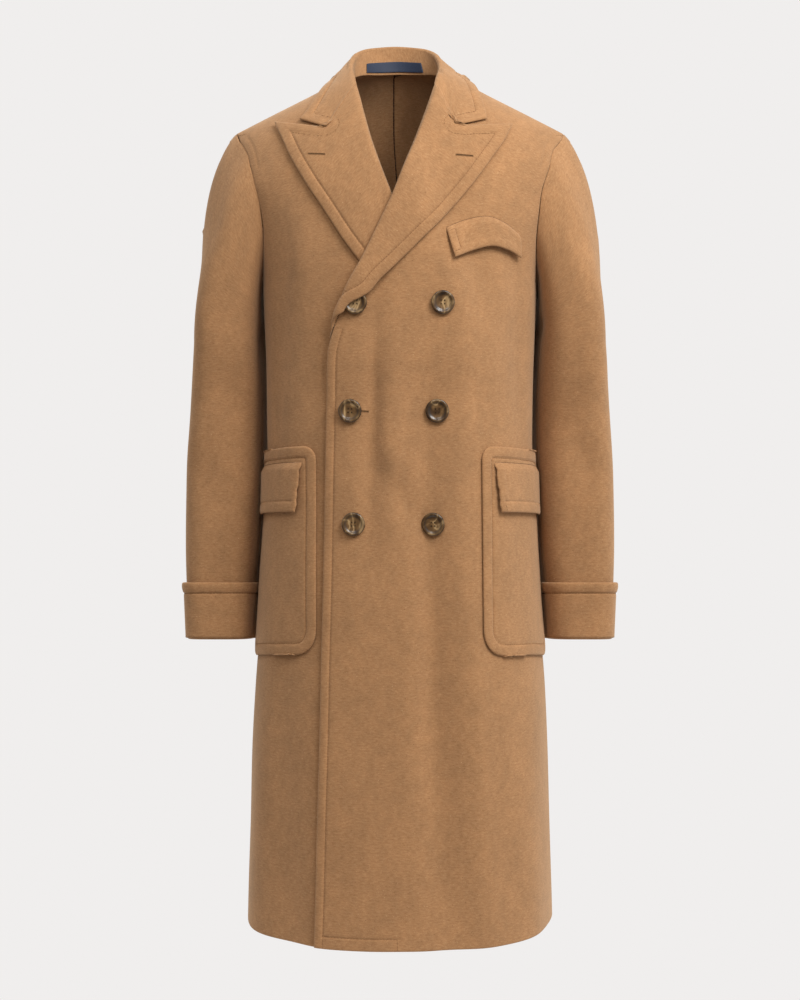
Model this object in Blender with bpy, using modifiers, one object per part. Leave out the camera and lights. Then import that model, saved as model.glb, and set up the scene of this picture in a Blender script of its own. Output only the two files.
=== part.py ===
"""Double-breasted polo coat in camel cloth, hollow and filled out as on a wearer.

Metres, +Z up. The coat faces -Y, and the wearer's left is at +X. The origin is the middle
of the neck base, level with the points where the shoulder seams meet the collar.
"""

import math
from collections import namedtuple

import bmesh
import bpy
import numpy as np
from mathutils import Vector

# Driving sizes, in metres and degrees
WALL = 0.003
SEAM_GAP = 0.0003
SIDE_SEAM_GAP = 0.0011
SLEEVE_SEAM_GAP = 0.0009
ARMHOLE_GAP = 0.0014
GORGE_GAP = 0.0009
STAND_WALL = 0.002
STAND_TOP_GAP = 0.0020
ROLL_GAP = 0.0006
LAYER_GAP = 0.0012
HEM_HEIGHT = -1.157
UNDERARM_HEIGHT = -0.290
SHOULDER_POINT_X = 0.2234
NECK_POINT_X = 0.066
RIDGE_Y = 0.012
SHOULDER_ROUNDNESS = 2.15
SPREAD_LEVEL = 0.55
BACK_NECK_HEIGHT = 0.010

ROLL_SOFT = 0.0064
ROLL_FIRM = 0.0042
RIGHT_ROLL = 0.0037
LAPEL_EDGE_LIFT = 0.0056
LAPEL_LIFT_OVER_BUTTON = 0.0098
WHOLE_TURN_SHARE = 0.07
FREE_WIDTH = 0.0067
FOLD_SHARE = 0.4
OVERLAP_RISE = 0.0048
CROSSING_RISE = 0.0110
OVERLAP_BLEND = 0.060

COLLAR_ROLL = 0.0040
COLLAR_EDGE_LIFT = 0.0062
COLLAR_CLEARANCE = 0.0075

BUTTON_DIAMETER = 0.031
BUTTON_THICKNESS = 0.0048
BUTTON_HOLE = 0.0021
BUTTON_HOLE_SPACING = 0.0046

LABEL_CENTRE_X = -0.012
LABEL_WIDTH = 0.076
LABEL_LOW = 0.10
LABEL_HIGH = 0.50
LABEL_GAP = 0.0012
LABEL_WALL = 0.001

CAMEL = (0.46, 0.27, 0.125)
HORN = (0.16, 0.105, 0.06)
NAVY = (0.02, 0.035, 0.09)

# The body's level sections, from hem to underarm
BodySection = namedtuple("BodySection", "height half_width front_depth back_depth squareness")
BODY = (
    BodySection(-1.157, 0.2105, 0.186, 0.182, 2.50),
    BodySection(-0.950, 0.2045, 0.176, 0.172, 2.50),
    BodySection(-0.830, 0.1990, 0.170, 0.164, 2.50),
    BodySection(-0.770, 0.1945, 0.166, 0.158, 2.45),
    BodySection(-0.700, 0.1890, 0.163, 0.153, 2.45),
    BodySection(-0.550, 0.1810, 0.158, 0.146, 2.40),
    BodySection(-0.420, 0.1815, 0.154, 0.140, 2.40),
    BodySection(-0.290, 0.1860, 0.150, 0.136, 2.40),
)

# The shoulder line seen from the front: the body's top at each distance from the middle
ShoulderLine = namedtuple("ShoulderLine", "distance height")
SHOULDER = (
    ShoulderLine(-0.045, 0.0115),
    ShoulderLine(0.000, 0.0230),
    ShoulderLine(0.045, 0.0115),
    ShoulderLine(0.080, -0.0055),
    ShoulderLine(0.120, -0.0262),
    ShoulderLine(0.170, -0.0510),
    ShoulderLine(0.2234, -0.0777),
)

# The armhole seam, by level from the underarm (0) to the shoulder line (1)
Armhole = namedtuple("Armhole", "level front_angle back_angle")
ARMHOLE = (
    Armhole(0.000, 92.0, 92.0),
    Armhole(0.045, 81.0, 102.0),
    Armhole(0.120, 72.0, 110.0),
    Armhole(0.240, 66.0, 116.5),
    Armhole(0.400, 63.0, 119.5),
    Armhole(0.560, 65.0, 117.5),
    Armhole(0.755, 74.5, 109.0),
    Armhole(0.920, 83.0, 100.0),
    Armhole(1.000, 85.5, 97.0),
)

# Soft vertical drapes that grow from a height down to the hem
Drape = namedtuple("Drape", "angle top width depth")
DRAPES = (
    Drape(-64.0, -0.72, 11.0, 0.005),
    Drape(-44.0, -0.62, 9.0, -0.005),
    Drape(27.0, -0.36, 9.0, -0.007),
    Drape(52.0, -0.50, 12.0, 0.006),
    Drape(112.0, -0.60, 11.0, 0.007),
    Drape(136.0, -0.50, 10.0, -0.009),
    Drape(160.0, -0.42, 11.0, 0.007),
    Drape(-114.0, -0.55, 11.0, 0.006),
    Drape(-140.0, -0.48, 10.0, -0.008),
    Drape(-163.0, -0.44, 11.0, 0.006),
)

# Each front's inner boundary: its edge below the break, the base of its lapel roll above
Opening = namedtuple("Opening", "height left_x right_x")
OPENING = (
    Opening(-1.157, -0.1135, 0.0960),
    Opening(-0.695, -0.1010, 0.0840),
    Opening(-0.433, -0.0952, 0.0790),
    Opening(-0.375, -0.0925, 0.0715),
    Opening(-0.350, -0.0875, 0.0680),
    Opening(-0.318, -0.0750, 0.0560),
    Opening(-0.286, -0.0608, 0.0425),
    Opening(-0.248, -0.0425, 0.0235),
    Opening(-0.207, -0.0240, 0.0035),
    Opening(-0.161, -0.0035, -0.0155),
    Opening(-0.122, 0.0120, -0.0305),
    Opening(-0.085, 0.0265, -0.0430),
    Opening(-0.037, 0.0430, -0.0555),
    Opening(-0.020, 0.0470, -0.0590),
    Opening(0.000, 0.0510, -0.0630),
)
GORGE_HEIGHT = -0.020

# Each lapel from its break up to the gorge: where its free edge lies as seen from the front
LapelEdge = namedtuple("LapelEdge", "share left_x left_height right_x right_height")
LAPEL_EDGE = (
    LapelEdge(0.07, -0.0672, -0.3185, 0.0490, -0.3185),
    LapelEdge(0.13, -0.0530, -0.3035, 0.0280, -0.3250),
    LapelEdge(0.22, -0.0330, -0.2860, -0.0020, -0.3050),
    LapelEdge(0.38, 0.0070, -0.2460, -0.0360, -0.2720),
    LapelEdge(0.55, 0.0520, -0.2010, -0.0700, -0.2290),
    LapelEdge(0.75, 0.0957, -0.1500, -0.1090, -0.1700),
    LapelEdge(0.90, 0.1290, -0.1050, -0.1420, -0.1170),
    LapelEdge(1.00, 0.1490, -0.0715, -0.1630, -0.0710),
)
LAPEL_BREAK_HEIGHT = -0.338
LEFT_NOTCH = (0.0730, -0.0758)
RIGHT_NOTCH = (-0.0980, -0.0760)
NOTCH_GAP = 0.0049
NOTCH_SHARE = 0.42

# The collar's fold, as the top of the stand's inner face, and its free edge behind the corners
CollarFold = namedtuple("CollarFold", "share x y height")
COLLAR_FOLD = (
    CollarFold(0.000, 0.0000, 0.0590, 0.0420),
    CollarFold(0.195, 0.0330, 0.0500, 0.0385),
    CollarFold(0.375, 0.0520, 0.0270, 0.0280),
    CollarFold(0.560, 0.0570, 0.0000, 0.0120),
)
NECK_SHIFT = -0.006
NECK_POINT_SHARE = 0.47
COLLAR_HALF_LENGTH = 0.174
CollarEdge = namedtuple("CollarEdge", "share x height face")
COLLAR_EDGE = (
    CollarEdge(0.00, 0.0000, -0.0120, 1),
    CollarEdge(0.20, 0.0430, -0.0095, 1),
    CollarEdge(0.38, 0.0780, -0.0090, 1),
    CollarEdge(0.50, 0.0945, -0.0125, -1),
    CollarEdge(0.68, 0.1040, -0.0260, -1),
    CollarEdge(1.00, 0.1180, -0.0600, -1),
)
LEFT_CORNER = (0.1138, -0.0650)
RIGHT_CORNER = (-0.1320, -0.0650)
COLLAR_NOTCH_SHARE = 0.56
FRONT_LAY_FROM = 0.50

# Each sleeve's level sections below the armpit, for the wearer's left arm
SleeveSection = namedtuple("SleeveSection", "height inner outer front back")
SLEEVE = (
    SleeveSection(-0.7705, 0.2020, 0.2895, -0.040, 0.080),
    SleeveSection(-0.7000, 0.1965, 0.2920, -0.039, 0.088),
    SleeveSection(-0.6500, 0.1905, 0.2930, -0.040, 0.094),
    SleeveSection(-0.5500, 0.1845, 0.2910, -0.042, 0.101),
    SleeveSection(-0.4500, 0.1835, 0.2842, -0.048, 0.100),
    SleeveSection(-0.3600, 0.1860, 0.2776, -0.062, 0.088),
)
SLEEVE_SQUARENESS = 2.5
SLEEVE_SLANT = -0.22
SLEEVE_TILT = 0.11
SLEEVE_CAP_SHARE = 0.46
FRONT_ARM_SEAM = -58.0
HIND_ARM_SEAM = 152.0
CUFF_TOP = -0.6930
CUFF_BAND = 0.014
CUFF_BAND_SWELL = 0.0022

# Patch pockets and their flaps, on the wearer's left and right
POCKET_TOP = -0.4950
POCKET_BOTTOM = -0.7710
POCKET_FRONT_X = {"left": 0.1030, "right": -0.1095}
POCKET_BACK_ANGLE = 88.0
POCKET_SAG = 0.014
POCKET_TOP_RADIUS = 0.018
POCKET_BOTTOM_RADIUS = 0.036
FLAP_TOP = -0.5160
FLAP_BOTTOM = -0.5820
FLAP_INSET = {"left": 0.0165, "right": 0.0205}
FLAP_FLARE = 0.0025
FLAP_BACK_ANGLE = 86.0

# The breast welt's upper and lower lines as seen from the front
BreastWelt = namedtuple("BreastWelt", "share top_x top_height low_x low_height")
BREAST_WELT = (
    BreastWelt(0.00, 0.0590, -0.2095, 0.0690, -0.2485),
    BreastWelt(0.30, 0.0860, -0.1985, 0.0940, -0.2390),
    BreastWelt(0.60, 0.1140, -0.1935, 0.1190, -0.2330),
    BreastWelt(0.80, 0.1385, -0.2020, 0.1395, -0.2380),
    BreastWelt(1.00, 0.1590, -0.2180, 0.1580, -0.2475),
)
BREAST_FLARE = 0.0030

# Button centres as seen from the front: two columns on the wearer's right and left
ButtonRow = namedtuple("ButtonRow", "name height right_x right_seat left_x left_seat")
BUTTON_ROWS = (
    ButtonRow("upper", -0.3060, -0.0557, 0.0011, 0.0544, 0.0008),
    ButtonRow("middle", -0.4470, -0.0640, 0.0012, 0.0493, 0.0012),
    ButtonRow("lower", -0.5950, -0.0605, 0.0007, 0.0469, 0.0005),
)


def smooth(xs, ys, at):
    """Shape-keeping cubic through a short table, held level past its ends."""
    xs = np.asarray(xs, float)
    ys = np.asarray(ys, float)
    step = np.diff(xs)
    slope = np.diff(ys) / step
    tangent = np.empty_like(ys)
    tangent[0], tangent[-1] = slope[0], slope[-1]
    agree = slope[:-1] * slope[1:] > 0
    total = np.where(agree, slope[:-1] + slope[1:], 1.0)
    tangent[1:-1] = np.where(agree, 2 * slope[:-1] * slope[1:] / total, 0.0)
    at = np.clip(at, xs[0], xs[-1])
    i = np.clip(np.searchsorted(xs, at, side="right") - 1, 0, len(xs) - 2)
    t = (at - xs[i]) / step[i]
    start = (1 + 2 * t) * (1 - t) ** 2 * ys[i] + t * (1 - t) ** 2 * step[i] * tangent[i]
    end = t * t * (3 - 2 * t) * ys[i + 1] + t * t * (t - 1) * step[i] * tangent[i + 1]
    return start + end


def column(table, at, x_name, y_name):
    """One named column of a table read at a value of another."""
    rows = sorted(table, key=lambda row: getattr(row, x_name))
    return smooth([getattr(r, x_name) for r in rows], [getattr(r, y_name) for r in rows], at)


def ease(t):
    """Smooth step from 0 to 1."""
    t = np.clip(t, 0.0, 1.0)
    return t * t * (3 - 2 * t)


def mix(a, b, t):
    return a + (b - a) * t


def unit(v):
    return v / np.maximum(np.linalg.norm(v, axis=-1, keepdims=True), 1e-12)


def stack(x, y, z):
    return np.stack(np.broadcast_arrays(x, y, z), axis=-1)


# The form that the cloth hangs on: an angle round the body and a level up it

def section(height):
    """Half width, front depth, back depth and squareness of the body at a height."""
    names = ("half_width", "front_depth", "back_depth", "squareness")
    return [column(BODY, height, "height", name) for name in names]


def level_height(level):
    """Height of a level below the underarm, where -1 is the hem and 0 the underarm."""
    return UNDERARM_HEIGHT + (UNDERARM_HEIGHT - HEM_HEIGHT) * np.minimum(level, 0.0)


def spread(level):
    """How much wider the body is at a level than at the underarm."""
    wide = SHOULDER_POINT_X / BODY[-1].half_width - 1
    return 1 + wide * ease(np.maximum(level, 0.0) / SPREAD_LEVEL)


def drape(angle, height):
    """How far the soft drapes push the cloth out."""
    out = np.zeros_like(angle)
    for row in DRAPES:
        turn = np.degrees(angle) - row.angle
        turn = (turn + 180.0) % 360.0 - 180.0
        grown = ease((row.top - height) / (row.top - HEM_HEIGHT))
        out = out + row.depth * grown * np.exp(-((turn / row.width) ** 2))
    return out


def form(angle, level):
    """Points on the form. Angles are in radians, 0 at the front and growing to the wearer's left."""
    angle, level = np.broadcast_arrays(np.asarray(angle, float), np.asarray(level, float))
    height = level_height(level)
    half, front, back, power = section(height)
    deep = np.where(np.cos(angle) > 0, front, back)
    across, along = np.abs(np.sin(angle)) / half, np.abs(np.cos(angle)) / deep
    radius = (across**power + along**power) ** (-1 / power) + drape(angle, height)
    x, y = radius * np.sin(angle), -radius * np.cos(angle)
    turn = np.clip(level, 0.0, 1.0) * math.pi / 2
    rise = np.sin(turn) ** (2 / SHOULDER_ROUNDNESS)
    depth = np.maximum(np.cos(turn), 0.0) ** (2 / SHOULDER_ROUNDNESS)
    x = x * spread(level)
    z = height + (shoulder_height(x) - UNDERARM_HEIGHT) * rise
    return stack(x, RIDGE_Y * rise + y * depth, z)


def shoulder_height(x):
    return column(SHOULDER, np.abs(x), "distance", "height")


def normal(angle, level):
    """Outward unit normals of the form."""
    small = 1e-4
    low, high = np.clip(level - small, -1, 1), np.clip(level + small, -1, 1)
    round_it = form(angle + small, level) - form(angle - small, level)
    up_it = form(angle, high) - form(angle, low)
    return unit(np.cross(round_it, up_it))


def angle_at(x, level, face=-1):
    """The angle whose point lies at x on a level, on the front (-1) or the back (1)."""
    half, front, back, power = section(level_height(level))
    x = np.clip(x / spread(level), -0.9999 * half, 0.9999 * half)
    deep = np.where(np.asarray(face) < 0, front, back) * (1 - (np.abs(x) / half) ** power) ** (1 / power)
    return np.arctan2(x, -face * deep)


def level_at(x, height):
    """The level of a point of the body seen from the front at x and height."""
    share = (height - UNDERARM_HEIGHT) / (shoulder_height(x) - UNDERARM_HEIGHT)
    above = np.arcsin(np.clip(share, 0, 1) ** (SHOULDER_ROUNDNESS / 2)) * 2 / math.pi
    below = (height - UNDERARM_HEIGHT) / (UNDERARM_HEIGHT - HEM_HEIGHT)
    return np.where(height < UNDERARM_HEIGHT, below, above)


def lifted(x, height, lift, face=-1):
    """Points over the body at x and height, this far out from the form, with their normals."""
    x, height, lift = np.broadcast_arrays(*(np.asarray(v, float) for v in (x, height, lift)))
    level = level_at(x, height)
    angle = angle_at(x, level, face)
    out = normal(angle, level)
    return form(angle, level) + out * lift[..., None], out


def body_top(x, y):
    """Height of the form's shoulders above a point."""
    face = np.where(y < RIDGE_Y, -1, 1)
    low, high = np.zeros_like(x), np.ones_like(x)
    for _ in range(24):
        level = (low + high) / 2
        outside = face * (form(angle_at(x, level, face), level)[..., 1] - y) > 0
        low, high = np.where(outside, level, low), np.where(outside, high, level)
    return form(angle_at(x, low, face), low)[..., 2]


def overlap_rise(x, height):
    """How far the left front stands off the form where it lies over the right front and lapel."""
    full = mix(OVERLAP_RISE, CROSSING_RISE, ease((height + 0.440) / 0.080))
    under = opening_x("right", height)
    return full * (1 - ease((x - under - 0.020) / OVERLAP_BLEND))


def opening_x(side, height):
    return column(OPENING, height, "height", side + "_x")


# Meshes

def finish(name, colour, roughness):
    """A plain material."""
    material = bpy.data.materials.new(name)
    material.use_nodes = True
    shader = material.node_tree.nodes["Principled BSDF"]
    shader.inputs["Base Color"].default_value = (*colour, 1.0)
    shader.inputs["Roughness"].default_value = roughness
    shader.inputs["Metallic"].default_value = 0.0
    return material


def stations(count, first=None, last=None):
    """Shares from 0 to 1 in even steps, with a narrow step at an end that meets a seam."""
    inner = np.linspace(first or 0.0, 1 - (last or 0.0), count + 1)
    ends = ([0.0] if first else []), ([1.0] if last else [])
    return np.concatenate([ends[0], inner, ends[1]])


def surface(name, across, along, place):
    """An open grid of cloth, placed by a function of the shares across and along it."""
    wide, long = len(across) - 1, len(along) - 1
    bm = bmesh.new()
    bmesh.ops.create_grid(bm, x_segments=wide, y_segments=long, size=0.5)
    verts = list(bm.verts)
    i = np.array([round((v.co.x + 0.5) * wide) for v in verts])
    j = np.array([round((v.co.y + 0.5) * long) for v in verts])
    for vert, point in zip(verts, place(np.asarray(across)[i], np.asarray(along)[j])):
        vert.co = point
    mesh = bpy.data.meshes.new(name)
    bm.to_mesh(mesh)
    bm.free()
    mesh.shade_smooth()
    return bpy.data.objects.new(name, mesh)


def cloth(name, across, along, place, wall=WALL):
    """A wall of cloth whose outer face is the placed grid."""
    obj = surface(name, across, along, place)
    solidify = obj.modifiers.new("wall", "SOLIDIFY")
    solidify.thickness = wall
    solidify.offset = -1.0
    solidify.use_even_offset = True
    solidify.use_quality_normals = True
    return dress(obj, MATERIALS["cloth"])


def dress(obj, material):
    obj.data.materials.clear()
    obj.data.materials.append(material)
    PARTS.objects.link(obj)
    return obj


def mirrored(place):
    """The same cloth on the wearer's right, running the other way so that it still faces out."""
    return lambda a, b: place(1 - a, b) * np.array((-1.0, 1.0, 1.0))


# Body panels

def armhole_angle(level, side):
    return np.radians(column(ARMHOLE, np.maximum(level, 0.0), "level", side + "_angle"))


def front_inner_angle(side, level):
    """The angle of a front's edge, roll or neckline at a level."""
    sign = 1 if side == "left" else -1
    gorge_x = opening_x(side, GORGE_HEIGHT)
    gorge_level = level_at(gorge_x, np.array(GORGE_HEIGHT))
    x = np.full_like(level, gorge_x)
    for _ in range(20):
        x = opening_x(side, form(angle_at(x, level), level)[..., 2])
    share = np.clip((level - gorge_level) / (1 - gorge_level), 0, 1) ** 0.7
    x = np.where(level > gorge_level, mix(gorge_x, sign * NECK_POINT_X, share), x)
    return angle_at(x, level)


def seam_turn(level):
    """The angle that half the side seam's gap takes up."""
    return 0.5 * SIDE_SEAM_GAP / (section(level_height(level))[0] * spread(level))


def front_levels():
    return np.concatenate([-1 + stations(15), stations(12, last=0.016)[1:]])


def back_levels():
    """The back's rows close up round its neckline."""
    neck = back_neck_level()
    above = np.array((0.015, 0.08, 0.20, 0.42, 0.70, 0.93, 1.0))
    return np.concatenate([-1 + stations(15), neck * stations(9)[1:], neck + (1 - neck) * above])


def back_neck_level():
    return float(level_at(np.array(0.0), np.array(BACK_NECK_HEIGHT)))


def front_lift(side, points):
    if side == "right":
        return np.zeros(len(points))
    return overlap_rise(points[:, 0], points[:, 2])


def front_place(side):
    sign = 1 if side == "left" else -1

    def place(across, levels):
        levels = np.minimum(levels, 1 - 0.6 * SEAM_GAP)
        inner = front_inner_angle(side, levels) + sign * ROLL_GAP / BODY[-1].front_depth
        outer = sign * (armhole_angle(levels, "front") - seam_turn(levels))
        angle = mix(inner, outer, across) if sign > 0 else mix(outer, inner, across)
        points = form(angle, levels)
        out = normal(angle, levels)
        points = points + out * front_lift(side, points)[:, None]
        points[:, 1] -= 0.5 * SEAM_GAP * ease((levels - 0.9) / 0.1)
        return points

    return place


def back_place(side):
    """One half of the back, between its side seam and the centre seam."""

    def place(across, levels):
        levels = np.minimum(levels, 1 - 0.6 * SEAM_GAP)
        neck_level = back_neck_level()
        share = np.clip((levels - neck_level) / (1 - neck_level), 0, 1)
        neck = angle_at(NECK_POINT_X * np.sqrt(share), levels, face=1)
        gap = (0.5 + ease((levels - 0.6) / 0.3)) * SEAM_GAP / section(level_height(levels))[2]
        inner = np.minimum(np.where(levels > neck_level, neck, math.pi), math.pi - gap)
        outer = armhole_angle(levels, "back") + seam_turn(levels)
        angle = mix(outer, inner, across) if side == "left" else mix(-inner, -outer, across)
        points = form(angle, levels)
        points[:, 1] += 0.5 * SEAM_GAP * ease((levels - 0.9) / 0.1)
        return points

    return place


def build_body():
    across = stations(16)
    levels = front_levels()
    cloth("front_left", across, levels, front_place("left"))
    cloth("front_right", across, levels, front_place("right"))
    levels = back_levels()
    cloth("back_left", stations(9, last=0.012), levels, back_place("left"))
    cloth("back_right", stations(9, first=0.012), levels, back_place("right"))


# Sleeves and turned-back cuffs

def armhole_loop():
    """Points round the left armhole: from the shoulder down the front, and back up behind."""
    levels = np.linspace(1.0, 0.0, 80)
    front = form(armhole_angle(levels, "front"), levels)
    back = form(armhole_angle(levels[::-1], "back"), levels[::-1])
    return front, back


def along_line(points, share):
    """Points at shares of a line's length."""
    steps = np.linalg.norm(np.diff(points, axis=0), axis=1)
    at = np.concatenate([[0.0], np.cumsum(steps)]) / steps.sum()
    return np.stack([np.interp(share, at, points[:, k]) for k in range(3)], axis=-1)


def armhole_point(angle):
    """The armhole seam's point that runs into the sleeve at an angle round the arm."""
    front, back = armhole_loop()
    turn = ((math.pi / 2 - angle) / (2 * math.pi)) % 1.0
    ahead = along_line(front, np.clip(turn * 2, 0, 1))
    behind = along_line(back, np.clip(turn * 2 - 1, 0, 1))
    return np.where((turn <= 0.5)[:, None], ahead, behind)


def sleeve_ring(angle, height, lift=0.0):
    """Points round the left sleeve below the armpit."""
    inner, outer, front, back = (
        column(SLEEVE, height, "height", name) for name in ("inner", "outer", "front", "back")
    )
    half_y = (back - front) / 2
    half_x = np.sqrt(((outer - inner) / 2) ** 2 - (SLEEVE_SLANT * half_y) ** 2)
    power = SLEEVE_SQUARENESS
    across = np.abs(np.sin(angle)) / (half_x + lift)
    along = np.abs(np.cos(angle)) / (half_y + lift)
    radius = (across**power + along**power) ** (-1 / power)
    behind = -radius * np.cos(angle)
    x = (inner + outer) / 2 + radius * np.sin(angle) + SLEEVE_SLANT * behind
    hang = SLEEVE_TILT * ease((SLEEVE[-1].height - height) / (SLEEVE[-1].height - CUFF_TOP))
    return stack(x, (front + back) / 2 + behind, height - hang * behind)


def sleeve_point(angle, share):
    """Points of the left sleeve, from the cuff's end (share 0) up to the armhole seam (1)."""
    low, high = SLEEVE[0].height, SLEEVE[-1].height
    tube_share = 1 - SLEEVE_CAP_SHARE
    height = mix(low, high, np.clip(share / tube_share, 0, 1))
    ring = sleeve_ring(angle, height)
    t = np.clip((share - tube_share) / SLEEVE_CAP_SHARE, 0, 1)[:, None]
    start, end = sleeve_ring(angle, np.full_like(share, high)), armhole_point(angle)
    up = ((1 + np.sin(angle)) / 2)[:, None]
    leave = unit(np.concatenate([0.30 + 0.30 * up, -0.16 * np.cos(angle)[:, None], -0.95 + 0.35 * up], 1))
    end = end + leave * ARMHOLE_GAP
    reach = np.linalg.norm(end - start, axis=1)[:, None]
    rise = np.array((0.0, -0.12, 1.0))
    first, second = start + rise * reach * 0.36, end + leave * reach * 0.24
    cap = (
        (1 - t) ** 3 * start
        + 3 * t * (1 - t) ** 2 * first
        + 3 * t * t * (1 - t) * second
        + t**3 * end
    )
    return np.where(t > 0, cap, ring)


def sleeve_place(start, end):
    """A sleeve piece between two seams."""
    start, end = math.radians(start), math.radians(end)
    gap = 0.5 * SLEEVE_SEAM_GAP / 0.045
    return lambda across, share: sleeve_point(mix(start + gap, end - gap, across), share)


def cuff_place(across, share):
    """The left cuff, with its swelled band along the top."""
    height = mix(SLEEVE[0].height, CUFF_TOP, share)
    band = ease((height - (CUFF_TOP - CUFF_BAND)) / 0.002)
    lift = WALL + LAYER_GAP + CUFF_BAND_SWELL * band
    return sleeve_ring(math.radians(FRONT_ARM_SEAM) + across * 2 * math.pi, height, lift)


def build_cuff(name, around, place):
    """A closed ring: its two ends are welded before the wall is made."""
    band_low = 1 - CUFF_BAND / (CUFF_TOP - SLEEVE[0].height)
    along = np.array((0.0, 0.4, band_low - 0.02, band_low + 0.03, 1.0))
    obj = cloth(name, around, along, place)
    bm = bmesh.new()
    bm.from_mesh(obj.data)
    bmesh.ops.remove_doubles(bm, verts=bm.verts, dist=1e-5)
    bm.to_mesh(obj.data)
    bm.free()
    return obj


def build_sleeves():
    top = sleeve_place(FRONT_ARM_SEAM, HIND_ARM_SEAM)
    under = sleeve_place(HIND_ARM_SEAM, FRONT_ARM_SEAM + 360.0)
    share = stations(13, last=0.004)
    top_across = stations(10, first=0.008, last=0.008)
    under_across = stations(8, first=0.009, last=0.009)
    top_arc = (HIND_ARM_SEAM - FRONT_ARM_SEAM) / 360.0
    around = np.concatenate([top_arc * top_across, top_arc + (1 - top_arc) * under_across[1:]])
    for side, turn in (("left", lambda place: place), ("right", mirrored)):
        cloth("sleeve_top_" + side, top_across, share, turn(top))
        cloth("sleeve_under_" + side, under_across, share, turn(under))
        build_cuff("cuff_" + side, around if side == "left" else 1 - around[::-1], turn(cuff_place))


# Lapels

def lapel_roll(side, share):
    """The radius of a lapel's roll, softest at its break."""
    if side == "right":
        return np.full_like(share, RIGHT_ROLL)
    return mix(ROLL_SOFT, ROLL_FIRM, ease((share - 0.15) / 0.30))


def lapel_lift(side, x, height):
    return overlap_rise(x, height) if side == "left" else np.zeros_like(x)


def lapel_row(side, share):
    """The ends of a lapel's row: its roll's base and its free edge, as x and height."""
    height = mix(LAPEL_BREAK_HEIGHT, GORGE_HEIGHT - GORGE_GAP, share)
    edge_x = column(LAPEL_EDGE, share, "share", side + "_x")
    edge_height = column(LAPEL_EDGE, share, "share", side + "_height")
    return opening_x(side, height), height, edge_x, edge_height


def roll_frame(side, base_x, base_height):
    """A lapel's roll line: its base, and the ways out and towards the opening."""
    lift = lapel_lift(side, base_x, base_height)
    base, out = lifted(base_x, base_height, lift)
    below = lifted(opening_x(side, base_height - 0.004), base_height - 0.004, lift)[0]
    above = lifted(opening_x(side, base_height + 0.004), base_height + 0.004, lift)[0]
    inward = unit(np.cross(out, above - below)) * (1 if side == "left" else -1)
    return base, out, inward


def notch_bend(flat, notch):
    """1 at the notch, falling evenly to 0 at both ends of the row."""
    return np.minimum(flat / notch, (1 - flat) / (1 - notch))


def lapel_place(side):
    sign = 1 if side == "left" else -1
    notch_x, notch_height = LEFT_NOTCH if side == "left" else RIGHT_NOTCH

    def laid(flat, share):
        """The stretch that lies over the front, from the roll to the free edge."""
        base_x, base_height, edge_x, edge_height = lapel_row(side, share)
        x, height = mix(base_x, edge_x, flat), mix(base_height, edge_height, flat)
        dip = ease((share - 0.80) / 0.20) * notch_bend(flat, NOTCH_SHARE)
        x = x + dip * (notch_x - mix(base_x, edge_x, NOTCH_SHARE))
        height = height + dip * (notch_height - mix(base_height, edge_height, NOTCH_SHARE))
        over_button = 1 - ease((share - 0.22) / 0.18) if side == "left" else np.zeros_like(share)
        edge_lift = mix(LAPEL_EDGE_LIFT, LAPEL_LIFT_OVER_BUTTON, over_button)
        lift = mix(2 * lapel_roll(side, share) - WALL, edge_lift, ease(flat))
        return lifted(x, height, lapel_lift(side, x, height) + lift)[0]

    def place(across, share):
        across = across if sign > 0 else 1 - across
        roll = lapel_roll(side, share)[:, None]
        base_x, base_height = lapel_row(side, share)[:2]
        base, out, inward = roll_frame(side, base_x, base_height)
        whole = math.pi * np.clip(share / WHOLE_TURN_SHARE, 0.25, 1)[:, None]
        turn = np.clip(across / FOLD_SHARE, 0, 1)[:, None] * whole
        rolled = base + out * (roll - WALL) + roll * (inward * np.sin(turn) - out * np.cos(turn))
        flat = np.clip((across - FOLD_SHARE) / (1 - FOLD_SHARE), 0, 1)
        ahead = inward * np.cos(whole) + out * np.sin(whole)
        free = rolled + ahead * (FREE_WIDTH * whole / math.pi * flat[:, None])
        settled = ease((share - WHOLE_TURN_SHARE) / 0.08)[:, None]
        return np.where((across < FOLD_SHARE)[:, None], rolled, mix(free, laid(flat, share), settled))

    return place


def folded_across():
    """Shares across a folded piece, closest round its roll."""
    roll = FOLD_SHARE * stations(4, first=0.04)
    return np.concatenate([roll, FOLD_SHARE + (1 - FOLD_SHARE) * stations(6)[1:]])


def build_lapels():
    across = folded_across()
    break_share = 0.08
    along = np.concatenate([break_share * stations(5), break_share + (1 - break_share) * stations(10)[1:]])
    cloth("lapel_left", across, along, lapel_place("left"))
    cloth("lapel_right", 1 - across[::-1], along, lapel_place("right"))


# Collar

def gorge_frame(side):
    """Start of the collar's roll at the gorge: inner face, outward and towards the opening."""
    height = np.array([GORGE_HEIGHT])
    base, out, inward = roll_frame(side, opening_x(side, height), height)
    return base[0] - out[0] * WALL, out[0], inward[0]


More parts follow.
